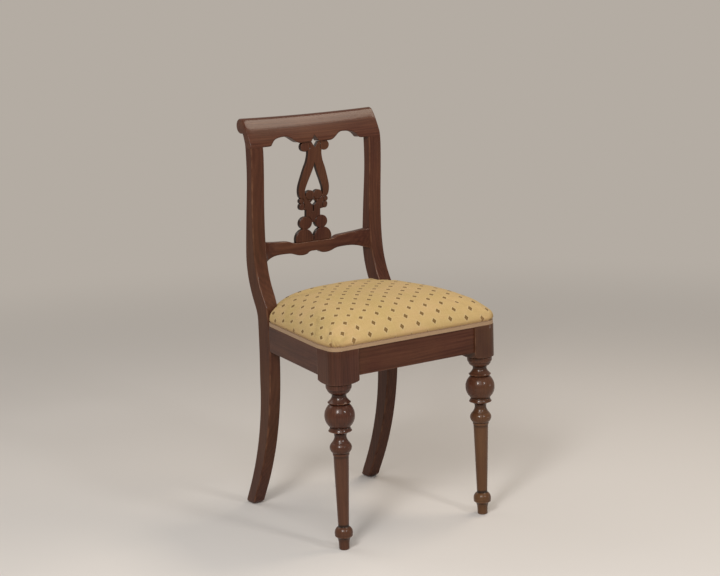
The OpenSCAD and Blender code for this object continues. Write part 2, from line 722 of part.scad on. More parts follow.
// A bore from p to q and on past it by the bite
module brace_screw_bore(p, q, r) {
    d = q - p;
    translate([p[0], p[1], brace_screw_z]) rotate([0, 90, atan2(d[1], d[0])])
        translate([0, 0, -over]) cylinder(h = norm(d) + corner_screw_bite + end_gap + over, r = r);
}
module seat_screw_bore(p, r, top) {
    translate([p[0], p[1], brace_low_z - over]) cylinder(h = top - brace_low_z + over, r = r);
}
module front_corner_block() {
    difference() {
        plate(brace_low_z, seat_h) polygon([front_brace_start, [block_inner_x, rail_back_y],
            block_corner, [inner_side_x(block_in), block_in], front_brace_end]);
        brace_screw_bore(front_brace_foot, block_corner, screw_hole_r);
        seat_screw_bore(front_seat_screw, screw_hole_r, seat_h + over);
    }
}
module rear_corner_block() {
    difference() {
        plate(brace_low_z, seat_h) polygon([rear_brace_start, rear_brace_end,
            [inner_side_x(seat_run), seat_run], post_corner, [post_inner_x, rear_rail_y]]);
        brace_screw_bore(rear_brace_foot, post_corner, screw_hole_r);
        seat_screw_bore(rear_seat_screw, screw_hole_r, seat_h + over);
    }
}
module front_corner_block_right() { color(beech) in_frame() front_corner_block(); }
module front_corner_block_left() {
    color(beech) in_frame() mirror([1, 0, 0]) front_corner_block();
}
module rear_corner_block_right() { color(beech) in_frame() rear_corner_block(); }
module rear_corner_block_left() {
    color(beech) in_frame() mirror([1, 0, 0]) rear_corner_block();
}
// A pan head screw that points along +Z, with its head under z = 0 and a slot in it
module screw(length) {
    cylinder(h = length, r = screw_r);
    difference() {
        translate([0, 0, -screw_head_h]) cylinder(h = screw_head_h, r = screw_head_d / 2);
        translate([-screw_head_d, -screw_head_h / 5, -screw_head_h - over])
            cube([2 * screw_head_d, screw_head_h * 0.4, over + screw_head_h / 2]);
    }
}
module corner_screw(p, q) {
    d = q - p;
    translate([p[0], p[1], brace_screw_z]) rotate([0, 90, atan2(d[1], d[0])])
        screw(norm(d) + corner_screw_bite);
}
module corner_block_screws() {
    color(steel) in_frame() both_sides() {
        corner_screw(front_brace_foot, block_corner);
        corner_screw(rear_brace_foot, post_corner);
    }
}
module seat_screws() {
    color(steel) in_frame() both_sides()
        for (p = [front_seat_screw, rear_seat_screw])
            translate([p[0], p[1], brace_low_z]) screw(brace_h + seat_screw_bite);
}

// SEAT
// Plan outline of the seat, drawn in by d from the faces of the blocks and the rails:
// round front corners, tapered sides, and notches round the back posts
function seat_outline(d) =
    let(front = block_front_y + seat_setback + d, outer = block_outer_x - seat_setback - d,
        corner = [outer + seat_setback + d - block_corner_r, block_front_y + block_corner_r],
        r = block_corner_r - seat_setback - d, rear = seat_run - post_gap - d,
        side = side_x(rear) - seat_setback - d, notch = post_inner_x - post_gap - d,
        tail = rear_rail_back_y - seat_setback - d,
        right = concat(
            towards([0, front], [corner[0], front], 6),
            arc(corner, r, -90, 0, 5),
            towards([outer, block_in], [side, rear], 8),
            towards([side, rear], [notch, rear], 2),
            towards([notch, rear], [notch, tail], 2),
            towards([notch, tail], [0, tail], 5)))
    concat(right, [[0, tail]],
        [for (i = [len(right) - 1:-1:1]) [-right[i][0], right[i][1]]]);

// The crown: rings of the outline that shrink to the middle and grow round on the way.
// Its height is full at the middle and falls to nothing at each side by a high power
crown_center = [0, (rear_rail_back_y + block_front_y) / 2];
crown_half_depth = (rear_rail_back_y - block_front_y) / 2;
crown_power = 3.2;
crown_shape = 0.45;
crown_edge_power = 10;
crown_steps = 8;
crown_round_share = 0.5;
crown_oval = [block_outer_x, crown_half_depth] * 0.92;
function crown_share(p, k) =
    let(u = abs(p[0]) / min(side_x(p[1]), block_outer_x),
        v = abs(p[1] - crown_center[1]) / crown_half_depth)
    pow(max(0, (1 - pow(u, crown_power)) * (1 - pow(v, crown_power))
        * (1 - pow(k, crown_edge_power))), crown_shape);
function crown_ring(outline, k, z) = [for (p = outline)
    let(v = p - crown_center, a = atan2(v[1] / crown_oval[1], v[0] / crown_oval[0]),
        oval = [crown_oval[0] * cos(a), crown_oval[1] * sin(a)],
        w = (1 - k) * crown_round_share, q = crown_center + k * (v * (1 - w) + oval * w))
    [q[0], q[1], z]];
// Rings from the base up to just short of the middle. drop lowers the crown
function crown_rings(d, base, drop) = concat(
    [crown_ring(seat_outline(d), 1, base)],
    [crown_ring(seat_outline(d + side_draw), 1, max(seat_h + gimp_h, base + side_draw))],
    [for (i = [0:crown_steps - 1]) let(k = cos(90 * i / crown_steps))
        [for (p = crown_ring(seat_outline(d), k, 0))
            [p[0], p[1], seat_h + seat_edge_h - drop + seat_crown * crown_share(p, k)]]]);
function crown_top(drop) = [crown_center[0], crown_center[1],
    seat_h + seat_edge_h + seat_crown - drop];

// Triangles between ring i and ring i + 1, from point index first on. flip turns them inside out
function ring_faces(m, count, first, flip) = [for (i = [0:count - 2], j = [0:m - 1])
    let(k = (j + 1) % m, a = first + i * m + j, b = first + i * m + k)
    each (flip ? [[a, b, b + m], [a, b + m, a + m]] : [[a, b + m, b], [a, a + m, b + m]])];
function cap_faces(m, first, top, flip) = [for (j = [0:m - 1])
    let(a = first + j, b = first + (j + 1) % m) flip ? [a, b, top] : [b, a, top]];

module seat_pad() {
    d = pad_inset;
    rings = crown_rings(d, seat_h + board_t, cover_t + pad_gap);
    m = len(rings[0]);
    n = len(rings);
    points = concat([for (r = rings) each r], [crown_top(cover_t + pad_gap)],
        [[crown_center[0], crown_center[1], seat_h + board_t]]);
    color(foam) in_frame() polyhedron(points, concat(ring_faces(m, n, 0, false),
        cap_faces(m, (n - 1) * m, n * m, false), cap_faces(m, 0, n * m + 1, true)));
}
// The cover is a shell: outside, inside, and a rim that stands on the rails round the board
module seat_cover() {
    outside = crown_rings(cover_inset, seat_h, 0);
    inside = crown_rings(cover_inset + cover_t, seat_h, cover_t);
    m = len(outside[0]);
    n = len(outside);
    shift = n * m + 1;
    points = concat([for (r = outside) each r], [crown_top(0)],
        [for (r = inside) each r], [crown_top(cover_t)]);
    rim = [for (j = [0:m - 1]) let(k = (j + 1) % m)
        each [[j, k, shift + k], [j, shift + k, shift + j]]];
    color(straw) in_frame() polyhedron(points, concat(
        ring_faces(m, n, 0, false), cap_faces(m, (n - 1) * m, n * m, false),
        ring_faces(m, n, shift, true), cap_faces(m, shift + (n - 1) * m, shift + n * m, true),
        rim));
}
soft_gap = 0.3;
pad_gap = soft_gap * 2;
cover_inset = gimp_t + fit_gap;
board_inset = cover_inset + cover_t + side_draw + soft_gap;
pad_inset = cover_inset + cover_t + soft_gap;

module seat_board() {
    color(beech) in_frame() difference() {
        plate(seat_h, seat_h + board_t) polygon(seat_outline(board_inset));
        both_sides() for (p = [front_seat_screw, rear_seat_screw])
            seat_screw_bore(p, screw_pilot_r, seat_h + seat_screw_bite + end_gap);
    }
}
module seat_gimp() {
    color(braid) in_frame() plate(seat_h, seat_h + gimp_h) difference() {
        polygon(seat_outline(0));
        polygon(seat_outline(gimp_t));
    }
}

front_leg_left();
front_leg_right();
back_post_left();
back_post_right();
crest_rail();
lower_back_rail();
back_splat();
front_seat_rail();
rear_seat_rail();
side_seat_rail_left();
side_seat_rail_right();
front_corner_block_left();
front_corner_block_right();
rear_corner_block_left();
rear_corner_block_right();
front_rail_dowels();
side_rail_dowels();
rear_rail_dowels();
back_rail_dowels();
crest_dowels();
splat_dowels();
corner_block_screws();
seat_screws();
seat_board();
seat_pad();
seat_cover();
seat_gimp();
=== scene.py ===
"""A scroll back dining chair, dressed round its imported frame.

Each wooden piece is a surface worked out with numpy from the frame's boxes and a few sizes, the
seat is a stuffed cushion swollen by a cloth simulation, and the hidden joinery keeps its own
solids. Lengths are metres, written as millimetres times MM. +Z is up and the chair faces -Y.
"""
import math

import bpy
import numpy as np
from bpy.props import FloatProperty, FloatVectorProperty, PointerProperty
from mathutils import Matrix, Vector, geometry


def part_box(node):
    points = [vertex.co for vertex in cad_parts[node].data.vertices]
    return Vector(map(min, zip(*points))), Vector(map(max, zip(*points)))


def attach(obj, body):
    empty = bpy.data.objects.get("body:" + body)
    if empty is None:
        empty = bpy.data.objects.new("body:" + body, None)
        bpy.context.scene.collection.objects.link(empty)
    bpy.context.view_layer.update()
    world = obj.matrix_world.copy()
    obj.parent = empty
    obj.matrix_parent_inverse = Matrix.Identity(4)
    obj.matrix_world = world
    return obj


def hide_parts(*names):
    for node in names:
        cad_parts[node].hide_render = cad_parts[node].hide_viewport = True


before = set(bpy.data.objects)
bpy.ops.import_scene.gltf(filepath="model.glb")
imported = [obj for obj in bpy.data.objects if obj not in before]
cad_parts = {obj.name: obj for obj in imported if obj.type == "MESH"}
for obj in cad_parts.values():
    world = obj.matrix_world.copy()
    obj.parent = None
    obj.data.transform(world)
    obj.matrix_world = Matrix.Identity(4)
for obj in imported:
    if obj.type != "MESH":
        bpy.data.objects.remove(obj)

bl_info = {
    "name": "Scroll Back Chair",
    "version": (1, 0, 0),
    "blender": (4, 5, 0),
    "location": "View3D > Sidebar > Chair",
    "description": "Dresses the frame of a scroll back dining chair with wood and woven cloth",
    "category": "Add Mesh",
}

MM = 0.001
X, Y, Z = 0, 1, 2


def low(node, axis):
    """The least coordinate of a node's box along an axis."""
    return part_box(node)[0][axis]


def high(node, axis):
    """The greatest coordinate of a node's box along an axis."""
    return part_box(node)[1][axis]


# Places and sizes of the frame
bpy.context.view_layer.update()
SEAT_H = high("front_leg_right", Z)
CREST_LIFT = 2.5 * MM
CREST_TOP = high("crest_rail", Z) + CREST_LIFT
POST_OUTER = high("back_post_right", X)
STILE_WIDENED = 1.6 * MM
STILE_INNER = low("back_post_right", X) - STILE_WIDENED
POST_INNER = high("rear_seat_rail", X)
POST_FRONT = low("back_post_right", Y)
FOOT_REAR = high("back_post_right", Y)
RAIL_LOW = low("front_seat_rail", Z)
RAIL_T = high("front_seat_rail", Y) - low("front_seat_rail", Y)
SIDE_FRONT_Y = low("side_seat_rail_right", Y)
SIDE_FRONT_X = high("side_seat_rail_right", X)
SIDE_TAPER = (SIDE_FRONT_X - POST_OUTER) / (POST_FRONT - SIDE_FRONT_Y)
SEAT_FRONT = low("seat_gimp", Y)
SEAT_REAR = high("seat_gimp", Y)
SEAT_MIDDLE = (SEAT_REAR + SEAT_FRONT) / 2
SEAT_HALF_D = (SEAT_REAR - SEAT_FRONT) / 2
SEAT_HALF_W = high("seat_gimp", X)

WALNUT = "stained_walnut"


# Sizes and colours that a user would change
def length_property(name, description, value):
    """A length, given in millimetres."""
    return FloatProperty(name=name, description=description, default=value * MM, unit="LENGTH")


def angle_property(name, description, value):
    """An angle, given in degrees."""
    return FloatProperty(name=name, description=description, default=math.radians(value),
                         subtype="ANGLE")


def colour_property(name, description, *value):
    """A colour, given as its red, green and blue."""
    return FloatVectorProperty(name=name, description=description, default=value, size=3,
                               subtype="COLOR")


class ChairLegSizes(bpy.types.PropertyGroup):
    """The turned front legs"""

    ball_r: length_property("Ball", "Radius of the ball", 32.3)
    bead_r: length_property("Bead", "Radius of the bead", 23.6)
    knob_r: length_property("Knob", "Radius of the knob over the toe", 19.2)
    cup_r: length_property("Cup", "Radius of the cup under the block", 27.5)
    shaft_top_r: length_property("Shaft top", "Radius of the shaft at its top", 16.4)
    shaft_low_r: length_property("Shaft foot", "Radius of the shaft at its foot", 11.6)
    block_h: length_property("Block", "Height of the square block with its shoulder", 72.5)
    corner_r: length_property("Corner", "Radius of the block's outer corner", 25)
    ease: length_property("Ease", "Wear on the edges of the turning", 0.5)


class ChairBackSizes(bpy.types.PropertyGroup):
    """The posts, the crest, the lower rail and the splat"""

    arris_r: length_property("Arris", "Radius of the posts' rounded edges", 3)
    foot_r: length_property("Foot", "Rounding under the rear feet", 8)
    post_depth: length_property("Post depth", "Depth of a post at the seat", 46.5)
    back_sweep: length_property(
        "Sweep", "From the post's front face to the scroll's centre", 86)
    scroll_r: length_property("Scroll", "Radius of the scroll along the crest", 16.8)
    crest_h: length_property("Crest", "Height of the crest over its joint with the posts", 64)
    crest_dish: length_property(
        "Crest dish", "How far the crest's middle stands behind its ends", 6)
    crest_dip: length_property("Crest dip", "How far the top's middle lies under its ends", 3.2)
    rail_dish: length_property(
        "Rail dish", "How far the lower rail's middle stands behind its ends", 20)
    rail_t: length_property("Rail thickness", "Thickness of the lower back rail", 18)
    splat_t: length_property("Splat thickness", "Thickness of the splat", 11.6)
    splat_edge_r: length_property("Splat edge", "Radius of the splat's sawn edges", 1.3)


class ChairSeatSizes(bpy.types.PropertyGroup):
    """The stuffed seat and its cloth"""

    edge_h: length_property("Edge", "Height of the seat's upright edge", 24.5)
    swell: length_property("Swell", "How far the stuffing may push the cloth out", 5)
    voxel: length_property("Grid", "Size of the cloth's faces before they are divided", 4.6)
    crown_h: length_property("Crown", "Height of the seat's middle over its upright edge", 56.5)
    motif_across: length_property("Motif spacing", "Distance between diamonds in one row", 42.4)
    motif_row: length_property("Motif rows", "Distance between rows of diamonds", 22.2)
    thread: length_property("Thread", "Pitch of the threads of the cloth", 0.75)


class ChairFinish(bpy.types.PropertyGroup):
    """Colours and gloss"""

    wood_dark: colour_property("Dark wood", "Stain in the pores and hollows", 0.018, 0.005, 0.003)
    wood_mid: colour_property("Wood", "Stained wood", 0.060, 0.018, 0.011)
    wood_light: colour_property(
        "Light wood", "Stained wood between the grain lines", 0.113, 0.041, 0.022)
    lacquer: FloatProperty(
        name="Lacquer", description="Weight of the clear lacquer over the stain", default=0.28,
        min=0, max=1)
    straw: colour_property("Straw", "Main colour of the cloth", 0.470, 0.350, 0.140)
    motif: colour_property("Diamonds", "Dark thread of the diamonds", 0.112, 0.056, 0.010)
    gimp: colour_property("Gimp", "Braid along the seat's lower edge", 0.335, 0.213, 0.120)


class ChairStageSizes(bpy.types.PropertyGroup):
    """The floor, the lights and the camera"""

    azimuth: angle_property("Azimuth", "Angle of the camera round the chair", -34.21)
    elevation: angle_property("Elevation", "Angle of the camera over the horizon", 10.74)
    roll: angle_property("Roll", "Turn of the camera about its own axis", -1.89)
    lens: FloatProperty(
        name="Lens", description="Focal length in millimetres on a 36 mm sensor", default=88.7)
    daylight: FloatProperty(
        name="Room light", description="Strength of the light from all round", default=0.26)
    floor: colour_property("Floor", "Colour of the floor", 0.69, 0.65, 0.61)
    backdrop: colour_property("Backdrop", "Colour behind the floor", 0.456, 0.413, 0.366)


# Curves and surfaces
def unit(x):
    """x held between 0 and 1."""
    return np.clip(x, 0, 1)


def eased(x):
    """A smooth step from 0 where x is 0 to 1 where x is 1: x x (3 - 2 x)."""
    x = unit(x)
    return x * x * (3 - 2 * x)


def normalised(vectors):
    """Vectors along the last axis, each brought to length 1."""
    return vectors / np.maximum(np.linalg.norm(vectors, axis=-1, keepdims=True), 1e-9)


def quarter_turned(vectors):
    """Plane vectors turned clockwise by a quarter, which points away from a curve that runs
    anticlockwise."""
    return np.stack([vectors[..., 1], -vectors[..., 0]], -1)


def spline(points, steps=8):
    """A curve through all the points. Between q and r it is the cubic that leaves q along the
    chord of q's neighbours and reaches r along the chord of r's neighbours."""
    p = np.asarray(points, float)
    ends = np.concatenate([p[:1], p, p[-1:]])
    a, b, c, d = (ends[i:len(p) - 1 + i, None, :] for i in range(4))
    t = (np.arange(steps) / steps)[None, :, None]
    curve = (2 * b + (c - a) * t + (2 * a - 5 * b + 4 * c - d) * t**2
             + (3 * b - a - 3 * c + d) * t**3) / 2
    return np.concatenate([curve.reshape(-1, p.shape[1]), p[-1:]])


def bulge(start, end, depth, steps=14):
    """A parabola from start to end that swells by depth to the right of its travel: the chord
    plus its normal times depth times 4 t (1 - t)."""
    start, end = np.asarray(start, float), np.asarray(end, float)
    t = np.linspace(0, 1, steps + 1)[:, None]
    along = end - start
    normal = np.array([along[1], -along[0]]) / np.linalg.norm(along)
    return start + along * t + normal * depth * 4 * t * (1 - t)


def arc(centre, radius, start, end, steps):
    """Points of a circle from angle start to angle end, in degrees."""
    a = np.radians(np.linspace(start, end, steps + 1))
    return np.asarray(centre) + radius * np.stack([np.cos(a), np.sin(a)], 1)


def chain(curves, ease, steps=4):
    """Joins curves end to end, with a straight line across each gap. Each corner becomes a
    parabola that leaves one curve at the distance ease before it and meets the next as far
    after it."""
    parts = [np.asarray(curves[0], float)]
    for curve in curves[1:]:
        curve = np.asarray(curve, float)
        if np.linalg.norm(curve[0] - parts[-1][-1]) > ease / 10:
            parts.append(np.stack([parts[-1][-1], curve[0]]))
        parts.append(curve)
    parts = [part for part in parts if len(part) > 1]
    t = np.linspace(0, 1, steps + 1)[:, None]
    joined = [parts[0][:-1]]
    for left, right in zip(parts, parts[1:]):
        corner = right[0]
        legs = [left[-2] - corner, right[1] - corner]
        a, b = (corner + leg * min(ease / np.linalg.norm(leg), 0.45) for leg in legs)
        joined.append(a * (1 - t)**2 + corner * 2 * t * (1 - t) + b * t**2)
        joined.append(right[1:-1])
    joined.append(parts[-1][-1:])
    return np.concatenate(joined)


def bend(curve, reach):
    """How far a curve turns within reach to each side of a point, in radians: from -1 in a
    crease to 1 on a ridge."""
    step = np.diff(curve, axis=0)
    angle = np.unwrap(np.arctan2(step[:, 1], step[:, 0]))
    place = np.concatenate([[0], np.cumsum(np.linalg.norm(step, axis=1))])
    middle = (place[1:] + place[:-1]) / 2
    turn = np.interp(place + reach, middle, angle) - np.interp(place - reach, middle, angle)
    return np.clip(turn, -1, 1)


def rounded_ring(a0, a1, b0, b1, radius, steps=5, sides=5):
    """Rounded rectangles, one for each row of the bounds a0 to a1 and b0 to b1: four quarter
    circles joined by straight sides that are cut in steps, with two cuts close to the arcs.
    Returns the points and a share that is 1 on the rounding and 0 on the flats."""
    a0, a1, b0, b1, r = np.broadcast_arrays(*(np.atleast_1d(v).astype(float)
                                              for v in (a0, a1, b0, b1, radius)))
    arcs = []
    for ca, cb, start in ((a1 - r, b0 + r, -90), (a1 - r, b1 - r, 0),
                          (a0 + r, b1 - r, 90), (a0 + r, b0 + r, 180)):
        angle = np.radians(np.linspace(start, start + 90, steps + 1))
        arcs.append(np.stack([ca[:, None] + r[:, None] * np.cos(angle),
                              cb[:, None] + r[:, None] * np.sin(angle)], 2))
    cuts = np.concatenate([[0.02], np.linspace(0, 1, sides + 1)[1:-1], [0.98]])[None, :, None]
    parts, share = [], []
    for i, part in enumerate(arcs):
        start, end = part[:, -1:], arcs[(i + 1) % 4][:, :1]
        parts += [part, start * (1 - cuts) + end * cuts]
        share += [np.sin(np.linspace(0, np.pi, steps + 1)) * 0.6 + 0.4, np.zeros(cuts.size)]
    return np.concatenate(parts, 1), np.concatenate(share)


def stacked(ring, stations, axis):
    """Puts rings at stations along an axis. A ring's two coordinates are the next two axes in
    the order X, Y, Z, X, so that rings which run anticlockwise face outwards."""
    points = np.empty(ring.shape[:2] + (3,))
    points[..., axis] = np.asarray(stations)[:, None]
    points[..., (axis + 1) % 3] = ring[..., 0]
    points[..., (axis + 2) % 3] = ring[..., 1]
    return points


def mirrored(points):
    """The other one of a pair: X changes its sign, and the rings run backwards so that the
    faces still look outwards."""
    return points[:, ::-1] * (-1, 1, 1)


def ring_faces(rows, columns):
    """Quads between neighbouring closed rings, and one face over each end."""
    i, j = np.meshgrid(np.arange(rows - 1), np.arange(columns), indexing="ij")
    k = (j + 1) % columns
    quads = np.stack([i * columns + j, i * columns + k,
                      (i + 1) * columns + k, (i + 1) * columns + j], 2).reshape(-1, 4)
    last = (rows - 1) * columns
    return quads.tolist() + [list(range(columns - 1, -1, -1)),
                             list(range(last, last + columns))]


def vertex_places(mesh):
    """The places of a mesh's vertices, one row each."""
    points = np.empty(len(mesh.vertices) * 3)
    mesh.vertices.foreach_get("co", points)
    return points.reshape(-1, 3)


def write_relief(mesh, relief):
    """Keeps relief as an attribute: 1 on worn edges, -1 in hollows, which are painted with shade."""
    layer = mesh.attributes.get("relief") or mesh.attributes.new("relief", "FLOAT", "POINT")
    layer.data.foreach_set("value", np.ascontiguousarray(relief, np.float32).ravel())


def write_map(mesh, name, values):
    """A UV map made from two values for each vertex."""
    corner = np.empty(len(mesh.loops), int)
    mesh.loops.foreach_get("vertex_index", corner)
    layer = mesh.uv_layers.new(name=name)
    layer.data.foreach_set("uv", values[corner].astype(np.float32).ravel())


def make_mesh(name, points, faces, relief=None, sharp=35):
    """A mesh object with smooth faces, edges sharp past an angle, and its relief if it has any."""
    mesh = bpy.data.meshes.new(name)
    mesh.from_pydata(points.reshape(-1, 3).tolist(), [], faces)
    if relief is not None:
        write_relief(mesh, relief)
    mesh.shade_smooth()
    mesh.set_sharp_from_angle(angle=math.radians(sharp))
    mesh.validate()
    made = bpy.data.objects.new(name, mesh)
    bpy.context.scene.collection.objects.link(made)
    return made


def apply_modifiers(piece):
    """Puts the evaluated mesh in place of the mesh and its modifiers."""
    graph = bpy.context.evaluated_depsgraph_get()
    mesh = bpy.data.meshes.new_from_object(piece.evaluated_get(graph))
    piece.modifiers.clear()
    piece.data = mesh


def dress(piece, material, slot, *nodes):
    """Gives a new piece its material and its place in the frame, and hides the nodes that it stands
    for.
    """
    piece.data.materials.clear()
    piece.data.materials.append(material)
    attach(piece, "root")
    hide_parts(*nodes)
    return piece


def ringed_piece(name, points, relief, material):
    """A wooden piece from rings, named after the node that it replaces."""
    relief = np.broadcast_to(relief, points.shape[:2])
    made = make_mesh(name + "_wood", points, ring_faces(*points.shape[:2]), relief)
    return dress(made, material, WALNUT, name)


# Materials
class Wire:
    """A value in a material. Its operators add Math nodes."""

    def __init__(self, recipe, socket):
        self.recipe = recipe
        self.socket = socket

    def math(self, operation, *values):
        """One Math node on this value and the others."""
        return self.recipe.add("ShaderNodeMath", {"operation": operation},
                               dict(enumerate(values)))

    def __add__(self, other):
        return self.math("ADD", self, other)

    __radd__ = __add__

    def __sub__(self, other):
        return self.math("SUBTRACT", self, other)

    def __rsub__(self, other):
        return self.math("SUBTRACT", other, self)

    def __mul__(self, other):
        return self.math("MULTIPLY", self, other)

    __rmul__ = __mul__

    def __truediv__(self, other):
        return self.math("DIVIDE", self, other)

    def __pow__(self, other):
        return self.math("POWER", self, other)

    def __abs__(self):
        return self.math("ABSOLUTE", self)

    def __lt__(self, other):
        return self.math("LESS_THAN", self, other)

    def __gt__(self, other):
        return self.math("GREATER_THAN", self, other)

    def floor(self):
        """The whole number at or under the value."""
        return self.math("FLOOR", self)

    def sine(self):
        """The sine of the value in radians."""
        return self.math("SINE", self)

    def clamped(self):
        """The value held between 0 and 1."""
        return self.recipe.add("ShaderNodeClamp", {}, {0: self})


class Recipe:
    """A material, or the world, in the making."""

    def __init__(self, name, owner=None):
        self.material = owner or bpy.data.materials.new(name)
        self.material.use_nodes = True
        self.tree = self.material.node_tree
        self.shader = self.tree.nodes.get("Principled BSDF")

    def add(self, kind, settings, inputs, output=0):
        """Adds one node: its settings first, then the values or links of its sockets."""
        node = self.tree.nodes.new(kind)
        stops = settings.pop("stops", None)
        for key, value in settings.items():
            setattr(node, key, value)
        if stops:
            ramp = node.color_ramp.elements
            while len(ramp) < len(stops):
                ramp.new(1)
            for element, (place, colour) in zip(ramp, stops):
                element.position = place
                element.color = (*colour, 1)
        for key, value in inputs.items():
            self.put(node.inputs[key], value)
        return Wire(self, node.outputs[output])

    def put(self, socket, value):
        """Links a socket to a value of the material, or sets it to a number or a colour."""
        if isinstance(value, Wire):
            self.tree.links.new(value.socket, socket)
        elif hasattr(value, "__len__") and socket.type == "RGBA" and len(value) == 3:
            socket.default_value = (*value, 1)
        else:
            socket.default_value = value

    def set(self, **sockets):
        """Sets or links the shader's own sockets, named with _ for each space."""
        for key, value in sockets.items():
            self.put(self.shader.inputs[key.replace("_", " ")], value)
        return self.material

    def finish(self, shader):
        """Links a shader to the output."""
        output = next(node for node in self.tree.nodes if "OUTPUT" in node.type)
        self.put(output.inputs["Surface"], shader)

    def place(self, turn=(0, 0, 0), shift=(0, 0, 0)):
        """Object coordinates in metres, turned and then shifted."""
        point = self.add("ShaderNodeTexCoord", {}, {}, "Object")
        return self.add("ShaderNodeMapping", {}, {"Vector": point, "Rotation": turn,
                                                  "Location": shift})

    def stretched(self, point, x, y, z):
        """A point with each coordinate multiplied by its own number."""
        return self.add("ShaderNodeVectorMath", {"operation": "MULTIPLY"},
                        {0: point, 1: (x, y, z)})

    def parts(self, vector):
        """The three coordinates of a vector as numbers."""
        split = self.add("ShaderNodeSeparateXYZ", {}, {0: vector})
        node = split.socket.node
        return [Wire(self, node.outputs[i]) for i in range(3)]

    def joined(self, x, y, z):
        """A point from three numbers."""
        return self.add("ShaderNodeCombineXYZ", {}, {0: x, 1: y, 2: z})

    def noise(self, point, scale=1.0, detail=2.0, roughness=0.5):
        """Smooth noise about 0.5."""
        return self.add("ShaderNodeTexNoise", {}, {
            "Vector": point, "Scale": scale, "Detail": detail, "Roughness": roughness})

    def attribute(self, name):
        """A value that the mesh keeps for each of its vertices."""
        return self.add("ShaderNodeAttribute", {"attribute_name": name}, {}, "Fac")

    def mixed(self, share, a, b):
        """Colour a where share is 0 and colour b where it is 1."""
        return self.add("ShaderNodeMix", {"data_type": "RGBA"}, {0: share, 6: a, 7: b}, 2)

    def bump(self, height, distance, strength=1.0):
        """A normal for a surface that rises by distance where height is 1."""
        return self.add("ShaderNodeBump", {}, {
            "Height": height, "Distance": distance, "Strength": strength})


# Turns that bring a piece's grain, along X, Y or Z, onto the Z axis of its pattern
GRAIN_TURNS = {X: (0, -math.pi / 2, 0), Y: (math.pi / 2, 0, 0), Z: (0, 0, 0)}
WALNUT_RINGS = 5.5 * MM
AMBER = (0.135, 0.064, 0.025)
WORN_WALNUT = (0.24, 0.115, 0.062)
# Painted shade, mixed into hollows, the turning's creases and the splat's sawn edge
PAINTED_SHADE_IN_HOLLOWS = (0.008, 0.003, 0.002)
LACQUER_TINT = (1.0, 0.80, 0.58)
TOOL_MARKS = 0.9 * MM
BEECH_RINGS = 4 * MM
BEECH_TONES = ((0.30, 0.17, 0.08), (0.53, 0.35, 0.19), (0.68, 0.48, 0.29))
BEECH_PORE = (0.28, 0.15, 0.07)
BIRCH_RINGS = 9 * MM
BIRCH_TONES = ((0.36, 0.22, 0.11), (0.52, 0.37, 0.22), (0.64, 0.49, 0.32))
BIRCH_PORE = (0.30, 0.18, 0.09)
PLY_T = 1.5 * MM
GLUE_LINE = (0.16, 0.09, 0.05)
ZINC_DULL = (0.52, 0.53, 0.55)
ZINC_BRIGHT = (0.76, 0.77, 0.78)


def wood_recipe(name, tones, turn, board, ring_pitch, contrast):
    """The colour, the pores and the fibres of a board: growth rings about a distant pith,
    fibres that are long noise along the grain, short dark pores and slow changes of tone."""
    recipe = Recipe(name)
    dark, mid, light = tones
    point = recipe.place(turn, (0.071 * board, 0.043 + 0.037 * board, 0.19 * board))
    sway = recipe.noise(recipe.stretched(point, 9, 9, 2.2), detail=3)
    x, y, _ = recipe.parts(point)
    pith = ((x + 0.05)**2 + (y + 0.11)**2)**0.5
    rings = (pith / ring_pitch + sway * 6) * math.tau
    figure = rings.sine() * 0.5 + 0.5
    fibres = recipe.noise(recipe.stretched(point, 1300, 1300, 20), detail=4, roughness=0.65)
    streaks = recipe.noise(recipe.stretched(point, 210, 210, 4), detail=3)
    pores = recipe.noise(recipe.stretched(point, 2600, 2600, 90), detail=1)
    tone = recipe.noise(recipe.stretched(point, 14, 14, 4), detail=2)
    pore = ((pores - 0.60) * 9).clamped()
    shade = (0.5 + (figure - 0.5) * 0.22 * contrast + (fibres - 0.5) * 0.9 * contrast
             + (streaks - 0.5) * 1.1 * contrast + (tone - 0.5) * 1.0 * contrast)
    colour = recipe.add("ShaderNodeValToRGB", {"stops": (
        (0.08, dark), (0.48, mid), (0.92, light))}, {"Fac": shade})
    return recipe, colour, pore, fibres


